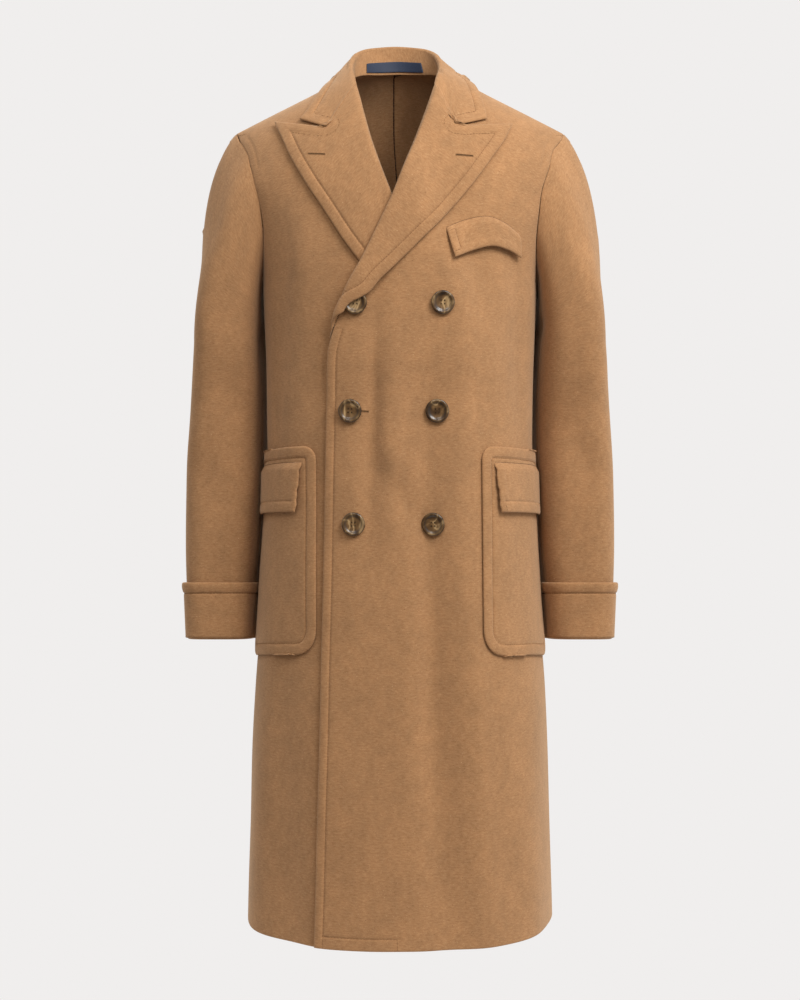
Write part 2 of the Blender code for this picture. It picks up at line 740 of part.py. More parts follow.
def collar_frame(share):
    """Along the collar from the right gorge (-1) to the left (1): fold, outward and up."""
    ends = {1: gorge_frame("left"), -1: gorge_frame("right")}
    rows = []
    for sign in (-1, 1):
        start = ends[sign][0]
        table = [(row.share, (sign * row.x + NECK_SHIFT, row.y, row.height)) for row in COLLAR_FOLD]
        rows += [(sign * s, np.array(p)) for s, p in table if sign > 0 or s > 0]
        rows.append((float(sign), start))
    rows.sort(key=lambda row: row[0])
    at = [row[0] for row in rows]
    fold = np.stack([smooth(at, [row[1][k] for row in rows], share) for k in range(3)], -1)
    away = unit(stack(fold[:, 0] - NECK_SHIFT, fold[:, 1] - 0.005, 0.0 * share))
    lay = ease((np.abs(share) - FRONT_LAY_FROM) / (1 - FRONT_LAY_FROM))[:, None]
    end_out = np.where((share > 0)[:, None], ends[1][1], ends[-1][1])
    end_in = np.where((share > 0)[:, None], ends[1][2], ends[-1][2])
    out = unit(mix(away, end_out, lay))
    up = mix(np.array((0.0, 0.0, 1.0)), end_in, lay)
    up = unit(up - out * (up * out).sum(1)[:, None])
    return fold, out, up


def collar_edge(share):
    """The collar's free edge, lying over the shoulders and back."""
    size = np.abs(share)
    x = column(COLLAR_EDGE, size, "share", "x") * np.sign(share)
    height = column(COLLAR_EDGE, size, "share", "height")
    turn = np.array([row.share for row in COLLAR_EDGE if row.face < 0][0])
    front = lifted(x, np.minimum(height, shoulder_height(x)), COLLAR_EDGE_LIFT)[0]
    back = lifted(x, np.minimum(height, shoulder_height(x)), COLLAR_EDGE_LIFT, face=1)[0]
    side = ease((size - (turn - 0.13)) / 0.13)[:, None]
    return mix(back, front, side)


def collar_front_row(side, flat):
    """The collar's end as it lies on the front, from the roll past the notch to the corner."""
    notch = LEFT_NOTCH if side == "left" else RIGHT_NOTCH
    corner = LEFT_CORNER if side == "left" else RIGHT_CORNER
    base_x = opening_x(side, GORGE_HEIGHT)
    bend = notch_bend(flat, COLLAR_NOTCH_SHARE)
    x = mix(base_x, corner[0], flat)
    height = mix(GORGE_HEIGHT, corner[1], flat)
    x = x + bend * (notch[0] - mix(base_x, corner[0], COLLAR_NOTCH_SHARE))
    drop = notch[1] + NOTCH_GAP - mix(GORGE_HEIGHT, corner[1], COLLAR_NOTCH_SHARE)
    height = height + bend * drop + SEAM_GAP
    lift = mix(2 * ROLL_FIRM - WALL, COLLAR_EDGE_LIFT, ease(flat))
    return lifted(x, height, lapel_lift(side, x, height) + lift)[0]


def collar_fall_place(across, share):
    """The collar's fall: its roll first, then down to the free edge."""
    share = share * 2 - 1
    across = 1 - across
    fold, out, up = collar_frame(share)
    turn = np.clip(across / FOLD_SHARE, 0, 1) * math.pi
    centre = fold + out * COLLAR_ROLL
    roll = centre + COLLAR_ROLL * (up * np.sin(turn)[:, None] - out * np.cos(turn)[:, None])
    flat = np.clip((across - FOLD_SHARE) / (1 - FOLD_SHARE), 0, 1)
    start, end = fold + out * 2 * COLLAR_ROLL, collar_edge(share)
    reach = np.linalg.norm(end - start, axis=1)[:, None]
    first = start + (out * 0.85 - up * 0.45) * reach * 0.34
    lying = unit(end - start + up * reach * 1.1)
    second = end - (lying - up * 1.25) * reach * 0.22
    t = flat[:, None]
    fall = (1 - t) ** 3 * start + 3 * t * (1 - t) ** 2 * first + 3 * t * t * (1 - t) * second + t**3 * end
    for side, sign in (("left", 1), ("right", -1)):
        laid = collar_front_row(side, flat)
        laid = laid + (start - collar_front_row(side, 0.0 * flat)) * (1 - t)
        lay = ease((sign * share - FRONT_LAY_FROM) / (1 - FRONT_LAY_FROM))[:, None]
        fall = mix(fall, laid, lay)
    clear = body_top(fall[:, 0], fall[:, 1]) + COLLAR_CLEARANCE
    fall[:, 2] += np.maximum(clear - fall[:, 2], 0.0)
    return np.where((across < FOLD_SHARE)[:, None], roll, fall)


def neck_seam(share):
    """The line where the stand is sewn to the body, just above the panels' edge."""
    size = np.abs(share)
    behind = np.clip(size / NECK_POINT_SHARE, 0, 1)
    level_back = back_neck_level()
    x_back = NECK_POINT_X * np.sin(behind * math.pi / 2)
    level = mix(level_back, 1.0, (x_back / NECK_POINT_X) ** 2)
    back = form(angle_at(x_back * np.sign(share), level, face=1), level)
    ahead = np.clip((size - NECK_POINT_SHARE) / (1 - NECK_POINT_SHARE), 0, 1)
    front = np.zeros_like(back)
    for side, sign in (("left", 1), ("right", -1)):
        gorge_x = opening_x(side, GORGE_HEIGHT)
        gorge_level = level_at(gorge_x, np.array(GORGE_HEIGHT))
        level = mix(1.0, gorge_level, ahead)
        x = mix(gorge_x, sign * NECK_POINT_X, (1 - ahead) ** 0.7)
        points = form(angle_at(x, level), level)
        front = np.where((np.sign(share) == sign)[:, None], points, front)
    line = np.where((size > NECK_POINT_SHARE)[:, None], front, back)
    away = unit(stack(line[:, 0] - NECK_SHIFT, line[:, 1] - 0.005, 0.0 * share))
    inside = 0.001 - NECK_SHIFT * 0.6 * ease(share / 0.3)
    return line - away * inside[:, None] + np.array((0.0, 0.0, 4 * SEAM_GAP))


def stand_place(across, share):
    """The stand's inner face, from the fold down to the neck seam."""
    share = share * 2 - 1
    fold, out = collar_frame(share)[:2]
    low = neck_seam(share)
    lean = np.maximum((unit(low - fold) * out).sum(1), 0.0)
    gap = STAND_TOP_GAP + 1.6 * STAND_WALL * lean
    return mix(fold + unit(low - fold) * gap[:, None], low, across[:, None])


def build_collar():
    along = stations(24)
    cloth("collar_fall", 1 - folded_across()[::-1], along, collar_fall_place)
    cloth("collar_stand", stations(4), along[5:-5], stand_place, STAND_WALL)


def label_place(across, share):
    """The plain woven label on the stand's inner face."""
    along = LABEL_CENTRE_X - NECK_SHIFT + (share - 0.5) * LABEL_WIDTH
    share = 0.5 + 0.5 * along / COLLAR_HALF_LENGTH
    points = stand_place(1 - mix(LABEL_LOW, LABEL_HIGH, 1 - across), share)
    out = collar_frame(2 * share - 1)[1]
    return points - out * (LABEL_GAP + LABEL_WALL)


# Pockets

def rounded_rows(low, high, low_radius, high_radius, straight):
    """Heights from low to high that follow round corners, with each row's inset."""
    turn = np.linspace(0, math.pi / 2, 6)
    rows = [(low + low_radius * (1 - math.cos(a)), low_radius * (1 - math.sin(a))) for a in turn]
    inner = np.linspace(low + low_radius, high - high_radius, straight + 1)[1:-1]
    rows += [(height, 0.0) for height in inner]
    rows += [(high - high_radius * (1 - math.cos(a)), high_radius * (1 - math.sin(a))) for a in turn[::-1]]
    return np.array(rows)


def pocket_lift(side, angle, level):
    points = form(angle, level)
    under = front_lift(side, points)
    return under + LAYER_GAP + WALL


def pocket_sag(along):
    """How far a pocket's lines drop towards its back."""
    return POCKET_SAG * along**1.3


def pocket_place(side, rows):
    sign = 1 if side == "left" else -1
    index = np.linspace(0, 1, len(rows))

    def place(across, share):
        height = np.interp(share, index, rows[:, 0])
        inset = np.interp(share, index, rows[:, 1])
        along = across if sign > 0 else 1 - across
        height = height - pocket_sag(along)
        level = level_at(np.zeros_like(height), height)
        start = angle_at(np.abs(POCKET_FRONT_X[side]) + inset * 0.8, level)
        end = np.radians(POCKET_BACK_ANGLE) - inset / 0.19
        angle = sign * mix(start, end, along)
        return form(angle, level) + normal(angle, level) * pocket_lift(side, angle, level)[:, None]

    return place


def flap_place(side):
    sign = 1 if side == "left" else -1

    def place(across, share):
        along = across if sign > 0 else 1 - across
        height = mix(FLAP_BOTTOM, FLAP_TOP, share) - pocket_sag(along)
        level = level_at(np.zeros_like(height), height)
        start = angle_at(np.abs(POCKET_FRONT_X[side]) + FLAP_INSET[side] + 0.005 * (1 - share), level)
        angle = sign * mix(start, np.radians(FLAP_BACK_ANGLE), along)
        flare = FLAP_FLARE * (1 - share) * (1 - 0.8 * along)
        lift = pocket_lift(side, angle, level) + LAYER_GAP + WALL + flare
        return form(angle, level) + normal(angle, level) * lift[:, None]

    return place


def breast_place(across, share):
    top_x, top_height, low_x, low_height = (
        column(BREAST_WELT, across, "share", name) for name in BreastWelt._fields[1:]
    )
    x, height = mix(low_x, top_x, share), mix(low_height, top_height, share)
    lift = overlap_rise(x, height) + LAYER_GAP + WALL + BREAST_FLARE * (1 - share)
    return lifted(x, height, lift)[0]


def build_pockets():
    rows = rounded_rows(
        POCKET_BOTTOM, POCKET_TOP, POCKET_BOTTOM_RADIUS, POCKET_TOP_RADIUS, straight=4
    )
    share = np.linspace(0, 1, len(rows))
    for side in ("left", "right"):
        cloth("pocket_" + side, stations(10), share, pocket_place(side, rows))
        cloth("pocket_flap_" + side, stations(7), stations(3), flap_place(side))
    cloth("breast_welt", stations(8), stations(3), breast_place)


# Buttons

def button_mesh():
    """A dished four-hole button turned from its profile, with its back at z = 0."""
    radius, thick = BUTTON_DIAMETER / 2, BUTTON_THICKNESS
    profile = (
        (0.0, 0.55 * thick),
        (0.58 * radius, 0.60 * thick),
        (0.74 * radius, 0.95 * thick),
        (0.88 * radius, thick),
        (radius, 0.62 * thick),
        (0.90 * radius, 0.10 * thick),
        (0.72 * radius, 0.0),
        (0.0, 0.0),
    )
    bm = bmesh.new()
    verts = [bm.verts.new((x, 0.0, z)) for x, z in profile]
    for a, b in zip(verts, verts[1:]):
        bm.edges.new((a, b))
    mesh = bpy.data.meshes.new("button_profile")
    bm.to_mesh(mesh)
    bm.free()
    blank = bpy.data.objects.new("button_blank", mesh)
    CUTTERS.objects.link(blank)
    turned = blank.modifiers.new("turned", "SCREW")
    turned.steps = turned.render_steps = 14
    turned.use_merge_vertices = True
    turned.merge_threshold = 1e-5
    holes = blank.modifiers.new("holes", "BOOLEAN")
    holes.object = button_holes()
    holes.solver = "EXACT"
    bpy.context.view_layer.update()
    made = blank.evaluated_get(bpy.context.evaluated_depsgraph_get())
    button = bpy.data.meshes.new_from_object(made)
    button.name = "button"
    bpy.data.objects.remove(blank)
    return button


def button_holes():
    """Four round cutters through the button."""
    bm = bmesh.new()
    half = BUTTON_HOLE_SPACING / 2
    for x in (-half, half):
        for y in (-half, half):
            made = bmesh.ops.create_cone(
                bm,
                cap_ends=True,
                segments=5,
                radius1=BUTTON_HOLE / 2,
                radius2=BUTTON_HOLE / 2,
                depth=4 * BUTTON_THICKNESS,
            )
            bmesh.ops.translate(bm, verts=made["verts"], vec=(x, y, 0.0))
    mesh = bpy.data.meshes.new("button_holes")
    bm.to_mesh(mesh)
    bm.free()
    cutter = bpy.data.objects.new("button_holes", mesh)
    cutter.hide_render = True
    cutter.display_type = "WIRE"
    CUTTERS.objects.link(cutter)
    return cutter


def build_buttons():
    mesh = button_mesh()
    for row in BUTTON_ROWS:
        for side in ("right", "left"):
            x = np.array([getattr(row, side + "_x")])
            height = np.array([row.height])
            lift = overlap_rise(x, height) + getattr(row, side + "_seat")
            point, out = lifted(x, height, lift)
            button = bpy.data.objects.new(f"button_{row.name}_{side}", mesh)
            button.location = point[0]
            button.rotation_mode = "QUATERNION"
            button.rotation_quaternion = Vector(out[0]).to_track_quat("Z", "Y")
            PARTS.objects.link(button)
    mesh.materials.append(MATERIALS["horn"])
    mesh.shade_smooth()
    mesh.set_sharp_from_angle(angle=math.radians(35))


def clear_scene():
    for obj in list(bpy.data.objects):
        bpy.data.objects.remove(obj)


def new_collection(name):
    collection = bpy.data.collections.new(name)
    bpy.context.scene.collection.children.link(collection)
    return collection


clear_scene()
PARTS = new_collection("polo_coat")
CUTTERS = new_collection("cutters")
MATERIALS = {
    "cloth": finish("camel_cloth", CAMEL, 0.95),
    "horn": finish("horn", HORN, 0.35),
    "label": finish("navy_label", NAVY, 0.8),
}
build_body()
build_sleeves()
build_lapels()
build_collar()
build_pockets()
build_buttons()
label = cloth("neck_label", stations(1), stations(12), label_place, LABEL_WALL)
label.data.materials.clear()
label.data.materials.append(MATERIALS["label"])
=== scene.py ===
"""Looks of the camel polo coat: cloth walls with their sewing, horn buttons, label, light and camera.

Metres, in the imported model's frame: the coat faces -Y, the wearer's left is at +X and the origin is
the middle of the neck base. Every wall is laid out from the coat's own form, so each piece lies
where its CAD node does.
"""

import logging
import math
from collections.abc import Callable, Sequence
from dataclasses import dataclass, field
from enum import Enum
from typing import NamedTuple

import bmesh
import bpy
import numpy as np
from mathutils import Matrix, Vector

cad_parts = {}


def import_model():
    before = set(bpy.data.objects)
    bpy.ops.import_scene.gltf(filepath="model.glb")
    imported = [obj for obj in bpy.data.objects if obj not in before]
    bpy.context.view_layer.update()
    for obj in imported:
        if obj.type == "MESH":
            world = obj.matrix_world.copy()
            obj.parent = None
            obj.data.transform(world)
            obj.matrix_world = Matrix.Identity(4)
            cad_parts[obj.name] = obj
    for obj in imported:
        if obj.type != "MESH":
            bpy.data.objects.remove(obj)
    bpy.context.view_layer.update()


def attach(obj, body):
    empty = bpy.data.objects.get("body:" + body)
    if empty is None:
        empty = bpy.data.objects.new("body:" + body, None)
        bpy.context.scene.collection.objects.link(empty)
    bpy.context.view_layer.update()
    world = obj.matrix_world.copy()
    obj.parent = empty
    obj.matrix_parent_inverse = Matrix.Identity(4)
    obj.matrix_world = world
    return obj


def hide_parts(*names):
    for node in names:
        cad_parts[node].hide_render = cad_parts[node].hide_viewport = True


LOG = logging.getLogger("polo_coat")
BODY = "root"
BAND_FULLNESS = 0.8
SETTLING_ROUNDS = 20
HALVINGS = 24
NUDGE = 1e-4
SEAM_STEPS = (0.0, 0.0003, 0.0010)
ROUNDING_STEPS = (0.0, 0.0003, 0.0008, 0.0016, 0.0027)
STITCH_STEPS = (-0.0024, -0.0015, -0.0007, 0.0, 0.0007, 0.0015, 0.0024, 0.0042)
Array = np.ndarray
Colour = tuple[float, float, float]
Place = Callable[[Array, Array], Array]


class Side(Enum):
    """The wearer's two sides, by the sign of X."""

    LEFT = 1
    RIGHT = -1

    @property
    def word(self) -> str:
        """The side's name as the CAD nodes write it."""
        return self.name.lower()


class Slot(Enum):
    """The material slots."""

    CLOTH = "camel_cloth"
    HORN = "horn_button"
    LABEL = "navy_label"


class Held(Enum):
    """How a sheet of cloth is held."""

    HUNG = "hung"
    LAID = "laid"
    FOLDED = "folded"


# Small tools


def smooth(xs: Sequence[float], ys: Sequence[float], at: Array) -> Array:
    """Shape-keeping cubic through a short table, held level past its ends.

    Args:
        xs: Rising places.
        ys: Values at those places.
        at: Places to read.

    Returns:
        The values there.
    """
    xs = np.asarray(xs, float)
    ys = np.asarray(ys, float)
    step = np.diff(xs)
    slope = np.diff(ys) / step
    tangent = np.empty_like(ys)
    tangent[0], tangent[-1] = slope[0], slope[-1]
    agree = slope[:-1] * slope[1:] > 0
    total = np.where(agree, slope[:-1] + slope[1:], 1.0)
    tangent[1:-1] = np.where(agree, 2 * slope[:-1] * slope[1:] / total, 0.0)
    at = np.clip(at, xs[0], xs[-1])
    i = np.clip(np.searchsorted(xs, at, side="right") - 1, 0, len(xs) - 2)
    t = (at - xs[i]) / step[i]
    start = (1 + 2 * t) * (1 - t) ** 2 * ys[i] + t * (1 - t) ** 2 * step[i] * tangent[i]
    end = t * t * (3 - 2 * t) * ys[i + 1] + t * t * (t - 1) * step[i] * tangent[i + 1]
    return start + end


def column(table: Sequence[NamedTuple], at: Array, x_name: str, y_name: str) -> Array:
    """One named column of a table, read at values of another column."""
    rows = sorted(table, key=lambda row: getattr(row, x_name))
    return smooth([getattr(r, x_name) for r in rows], [getattr(r, y_name) for r in rows], at)


def ease(t: Array) -> Array:
    """Smooth step from 0 to 1."""
    t = np.clip(t, 0.0, 1.0)
    return t * t * (3 - 2 * t)


def mix(a: Array, b: Array, t: Array) -> Array:
    """The value a share t of the way from a to b."""
    return a + (b - a) * t


def unit(v: Array) -> Array:
    """Vectors of length 1."""
    return v / np.maximum(np.linalg.norm(v, axis=-1, keepdims=True), 1e-12)


def stack(x: Array, y: Array, z: Array) -> Array:
    """Points from their three coordinates."""
    return np.stack(np.broadcast_arrays(x, y, z), axis=-1)


def hump(t: Array) -> Array:
    """A soft bell, 1 at 0."""
    return np.exp(-(t**2))


def band(gap: Array, width: float) -> Array:
    """How a swelled edge fills out over its width."""
    return np.sin(math.pi * np.clip(gap / width, 0, 1)) ** BAND_FULLNESS


def wrapped(degrees: Array) -> Array:
    """Turns brought between -180 and 180 degrees."""
    return (degrees + 180.0) % 360.0 - 180.0


def run_along(line: Array) -> Array:
    """The distance run along a line, at each of its points."""
    return np.concatenate([[0.0], np.cumsum(np.linalg.norm(np.diff(line, axis=0), axis=1))])


def read_line(values: Array, run: Array, at: Array) -> Array:
    """Points or normals of a line, read where its run has these values."""
    return np.stack([np.interp(at, run, values[:, k]) for k in range(3)], axis=-1)


def bezier(start: Array, first: Array, second: Array, end: Array, t: Array) -> Array:
    """Points of a cubic curve from its ends and its two handles."""
    near = (1 - t) ** 3 * start + 3 * t * (1 - t) ** 2 * first
    return near + 3 * t * t * (1 - t) * second + t**3 * end


def linked(name: str, data: bpy.types.ID) -> bpy.types.Object:
    """A new object, in the scene."""
    made = bpy.data.objects.new(name, data)
    bpy.context.scene.collection.objects.link(made)
    return made


# Finishes


class Shader:
    """A material's nodes, with short calls to add and join them."""

    def __init__(self, name: str) -> None:
        """Starts a material with its Principled shader."""
        self.material = bpy.data.materials.new(name)
        self.material.use_nodes = True
        self.tree = self.material.node_tree
        self.base = self.tree.nodes["Principled BSDF"]

    def add(self, kind: str, settings: dict | None = None, **inputs: object) -> bpy.types.Node:
        """Adds a node.

        Args:
            kind: Its type, without the leading ShaderNode.
            settings: Properties to set on it.
            **inputs: Values or sockets for its inputs, named with _ for a space.

        Returns:
            The node.
        """
        node = self.tree.nodes.new("ShaderNode" + kind)
        for key, value in (settings or {}).items():
            setattr(node, key, value)
        for key, value in inputs.items():
            self.feed(node.inputs[key.replace("_", " ")], value)
        return node

    def feed(self, socket: bpy.types.NodeSocket, value: object) -> None:
        """Links a socket to another, or sets its value."""
        if isinstance(value, bpy.types.NodeSocket):
            self.tree.links.new(value, socket)
        else:
            socket.default_value = value

    def set(self, **inputs: object) -> None:
        """Sets or links the Principled shader's inputs."""
        for key, value in inputs.items():
            self.feed(self.base.inputs[key.replace("_", " ")], value)

    def coordinates(self, source: str, scale: Sequence[float]) -> bpy.types.NodeSocket:
        """UV or Object coordinates, scaled."""
        made = self.add("TexCoord")
        return self.add("Mapping", Vector=made.outputs[source], Scale=scale).outputs["Vector"]

    def noise(self, where: bpy.types.NodeSocket, **inputs: object) -> bpy.types.NodeSocket:
        """A noise texture's factor, at unit scale."""
        return self.add("TexNoise", Vector=where, Scale=1.0, **inputs).outputs["Fac"]

    def ramp(self, fac: bpy.types.NodeSocket, stops: Sequence[tuple[float, Colour]]) -> bpy.types.NodeSocket:
        """A colour ramp through these stops."""
        node = self.add("ValToRGB", Fac=fac)
        points = node.color_ramp.elements
        while len(points) < len(stops):
            points.new(1.0)
        for point, (place, colour) in zip(points, stops):
            point.position = place
            point.color = (*colour, 1.0)
        return node.outputs["Color"]

    def blend(self, kind: str, share: object, a: object, b: object) -> bpy.types.NodeSocket:
        """Two colours mixed in one of the Mix node's ways."""
        node = self.add("Mix", {"data_type": "RGBA", "blend_type": kind})
        self.feed(node.inputs[0], share)
        self.feed(node.inputs[6], a)
        self.feed(node.inputs[7], b)
        return node.outputs[2]

    def bump(
        self,
        height: bpy.types.NodeSocket,
        strength: float,
        distance: float,
        over: bpy.types.NodeSocket | None = None,
    ) -> bpy.types.NodeSocket:
        """A bump from a height, on top of another bump if there is one."""
        node = self.add("Bump", Height=height, Strength=strength, Distance=distance)
        if over is not None:
            self.feed(node.inputs["Normal"], over)
        return node.outputs["Normal"]


@dataclass(frozen=True)
class CamelWool:
    """Brushed camel coating: a short nap over a soft weave, with paler and darker hairs."""

    name: str = "camel_wool"
    deep: Colour = (0.275, 0.132, 0.055)
    ground: Colour = (0.365, 0.190, 0.084)
    pale: Colour = (0.455, 0.256, 0.122)
    fleck_pale: Colour = (0.56, 0.36, 0.195)
    fleck_dark: Colour = (0.14, 0.060, 0.025)
    weft_scale: tuple[float, float, float] = (170.0, 440.0, 1.0)
    nap_scale: tuple[float, float, float] = (1500.0, 520.0, 1.0)
    cloud_scale: tuple[float, float, float] = (80.0, 62.0, 1.0)
    drift_scale: tuple[float, float, float] = (22.0, 13.0, 1.0)
    fleck_scale: tuple[float, float, float] = (520.0, 760.0, 1.0)

    def material(self) -> bpy.types.Material:
        """Builds the cloth's material."""
        shader = Shader(self.name)
        weft = shader.noise(shader.coordinates("UV", self.weft_scale), Detail=3.0, Roughness=0.62)
        nap = shader.noise(shader.coordinates("UV", self.nap_scale), Detail=2.0, Roughness=0.6)
        cloud = shader.noise(shader.coordinates("UV", self.cloud_scale), Detail=3.0, Roughness=0.55)
        drift = shader.noise(shader.coordinates("UV", self.drift_scale), Detail=2.0, Roughness=0.5)
        fleck = shader.noise(shader.coordinates("UV", self.fleck_scale), Detail=1.0)
        woven = shader.ramp(weft, ((0.30, self.deep), (0.50, self.ground), (0.72, self.pale)))
        haired = shader.ramp(nap, ((0.30, self.deep), (0.52, self.ground), (0.74, self.pale)))
        colour = shader.blend("MIX", 0.42, woven, haired)
        for patch, low in ((cloud, 0.90), (drift, 0.91)):
            shade = shader.ramp(patch, ((0.30, (low, low, low)), (0.70, (1.06, 1.05, 1.04))))
            colour = shader.blend("MULTIPLY", 1.0, colour, shade)
        white = (1.0, 1.0, 1.0)
        black = (0.0, 0.0, 0.0)
        pale_hairs = shader.ramp(fleck, ((0.69, black), (0.82, white)))
        dark_hairs = shader.ramp(fleck, ((0.20, white), (0.31, black)))
        colour = shader.blend("MIX", pale_hairs, colour, (*self.fleck_pale, 1.0))
        colour = shader.blend("MIX", dark_hairs, colour, (*self.fleck_dark, 1.0))
        normal = shader.bump(weft, 0.45, 0.0006)
        normal = shader.bump(nap, 0.40, 0.0003, normal)
        shader.set(Base_Color=colour, Roughness=0.93, Specular_IOR_Level=0.18, Normal=normal)
        shader.set(Sheen_Weight=0.30, Sheen_Roughness=0.55, Sheen_Tint=(0.95, 0.74, 0.52, 1.0))
        return shader.material


@dataclass(frozen=True)
class SewingThread:
    """Matt sewing thread with a twisted ply."""

    name: str = "camel_thread"
    colour: Colour = (0.215, 0.110, 0.047)
    pale: Colour = (0.300, 0.160, 0.070)
    ply_scale: float = 1400.0

    def material(self) -> bpy.types.Material:
        """Builds the thread's material."""
        shader = Shader(self.name)
        ply = shader.noise(shader.coordinates("Object", (self.ply_scale,) * 3), Detail=1.0)
        colour = shader.ramp(ply, ((0.35, self.colour), (0.70, self.pale)))
        shader.set(Base_Color=colour, Roughness=0.85, Specular_IOR_Level=0.2)
        shader.set(Normal=shader.bump(ply, 0.5, 0.0001))
        return shader.material


@dataclass(frozen=True)
class PolishedHorn:
    """Brown and grey horn, streaked with pale swirls under a polish, with painted shade on the dish and rim.
    """

    name: str = "polished_horn"
    swirl_scale: tuple[float, float, float] = (42.0, 22.0, 30.0)
    streak_scale: tuple[float, float, float] = (420.0, 90.0, 160.0)
    warp: float = 1.5
    # Brightness by distance from the middle: the dished centre is painted lighter, and the dish's rising
    # wall and the rim's outer edge are painted darker as shade.
    ring_stops: tuple[tuple[float, Colour], ...] = (
        (0.50, (1.30, 1.25, 1.18)),
        (0.70, (0.50, 0.46, 0.42)),
        (0.86, (1.00, 0.96, 0.90)),
        (0.97, (0.45, 0.41, 0.37)),
    )

    def material(self) -> bpy.types.Material:
        """Builds the horn's material."""
        shader = Shader(self.name)
        where = shader.coordinates("Object", self.swirl_scale)
        swirl = shader.noise(where, Detail=2.0, Roughness=0.45, Distortion=self.warp)
        streak = shader.noise(shader.coordinates("Object", self.streak_scale), Detail=2.0, Distortion=0.6)
        stops = (
            (0.30, (0.040, 0.020, 0.007)),
            (0.43, (0.095, 0.052, 0.020)),
            (0.50, (0.150, 0.090, 0.038)),
            (0.55, (0.340, 0.235, 0.120)),
            (0.61, (0.130, 0.076, 0.032)),
            (0.74, (0.060, 0.032, 0.012)),
        )
        colour = shader.ramp(swirl, stops)
        grain = shader.ramp(streak, ((0.35, (0.86, 0.85, 0.84)), (0.65, (1.10, 1.08, 1.05))))
        colour = shader.blend("MULTIPLY", 1.0, colour, grain)
        # Painted shade by distance from the button's middle, darkest on the dish's wall and the rim's outer
        # edge.
        flat = shader.add("TexCoord").outputs["UV"]
        out = shader.add("VectorMath", {"operation": "LENGTH"}, Vector=flat).outputs["Value"]
        ring = shader.ramp(out, self.ring_stops)
        colour = shader.blend("MULTIPLY", 1.0, colour, ring)
        shader.set(Base_Color=colour, Roughness=0.30, Specular_IOR_Level=0.40)
        shader.set(Coat_Weight=0.15, Coat_Roughness=0.12)
        shader.set(Normal=shader.bump(streak, 0.10, 0.0002))
        return shader.material


@dataclass(frozen=True)
class NavyDamask:
    """Plain navy label cloth in a fine close weave."""

    name: str = "navy_label_cloth"
    deep: Colour = (0.006, 0.012, 0.030)
    pale: Colour = (0.016, 0.028, 0.062)
    weave_scale: tuple[float, float, float] = (2600.0, 1500.0, 1.0)

    def material(self) -> bpy.types.Material:
        """Builds the label's material."""
        shader = Shader(self.name)
        weave = shader.noise(shader.coordinates("UV", self.weave_scale), Detail=1.0)
        colour = shader.ramp(weave, ((0.32, self.deep), (0.68, self.pale)))
        shader.set(Base_Color=colour, Roughness=0.62, Specular_IOR_Level=0.35)
        shader.set(Normal=shader.bump(weave, 0.4, 0.0002))
        shader.set(Sheen_Weight=0.15, Sheen_Roughness=0.4)
        return shader.material


@dataclass(frozen=True)
class PaperWhite:
    """The studio's pale paper."""

    name: str = "studio_paper"
    colour: Colour = (0.820, 0.806, 0.798)

    def material(self) -> bpy.types.Material:
        """Builds the paper's material."""
        shader = Shader(self.name)
        grain = shader.noise(shader.coordinates("Object", (4.0, 4.0, 4.0)), Detail=2.0)
        low = tuple(0.995 * part for part in self.colour)
        colour = shader.ramp(grain, ((0.3, low), (0.7, self.colour)))
        shader.set(Base_Color=colour, Roughness=0.95, Specular_IOR_Level=0.1)
        return shader.material


class Finishes:
    """Every finish of the coat, made once."""

    def __init__(self) -> None:
        """Makes the materials."""
        wool = CamelWool().material()
        self.thread = SewingThread().material()
        self.horn = PolishedHorn().material()
        brown = SewingThread("button_thread", (0.045, 0.026, 0.014), (0.10, 0.06, 0.03))
        self.button_thread = brown.material()
        # Near-black material for painted shadow: the dark line in each buttonhole's slit and the shadow
        # lines of the back seam and pocket tops.
        shadow_paint = SewingThread("buttonhole_slit", (0.050, 0.026, 0.012), (0.075, 0.04, 0.018))
        self.slit = shadow_paint.material()
        label = NavyDamask().material()
        navy = SewingThread("label_thread", (0.015, 0.025, 0.06), (0.03, 0.05, 0.10))
        self.woven = {Slot.CLOTH: (wool, self.thread), Slot.LABEL: (label, navy.material())}


# The form that the cloth hangs on


class BodySection(NamedTuple):
    """A level section of the body."""

    height: float
    half_width: float
    front_depth: float
    back_depth: float
    squareness: float


class ShoulderLine(NamedTuple):
    """The body's top at a distance from the middle."""

    distance: float
    height: float


class Armhole(NamedTuple):
    """The armhole seam, by level from the underarm (0) to the shoulder line (1)."""

    level: float
    front_angle: float
    back_angle: float


class Drape(NamedTuple):
    """A soft vertical drape that grows from a height down to the hem."""

    angle: float
    top: float
    width: float
    depth: float

    def push(self, angle: Array, height: Array, hem: float) -> Array:
        """How far the drape pushes the cloth out, above a hem at a height."""
        grown = ease((self.top - height) / (self.top - hem))
        return self.depth * grown * hump(wrapped(np.degrees(angle) - self.angle) / self.width)


class Crease(NamedTuple):
    """A soft trough (depth below 0) or ridge: its middle, its reach and how it leans."""

    angle: float
    level: float
    reach: float
    width: float
    depth: float
    lean: float

    def push(self, angle: Array, level: Array) -> Array:
        """How far the crease pushes the cloth out."""
        turn = wrapped(np.degrees(angle) - self.angle - self.lean * (level - self.level))
        return self.depth * hump(turn / self.width) * hump((level - self.level) / self.reach)


class Ripple(NamedTuple):
    """A faint unevenness: two crossing waves, by their turns round, rises up and phases."""

    share: float
    turns: float
    rises: float
    phase: float
    cross_turns: float
    cross_rises: float
    cross_phase: float

    def push(self, angle: Array, level: Array) -> Array:
        """The ripple's share of the whole unevenness."""
        cross = np.sin(self.cross_turns * angle + self.cross_rises * level + self.cross_phase)
        return self.share * np.sin(self.turns * angle + self.rises * level + self.phase) * cross


class Opening(NamedTuple):
    """Each front's inner boundary: its edge below the break, the base of its lapel roll above."""

    height: float
    left_x: float
    right_x: float


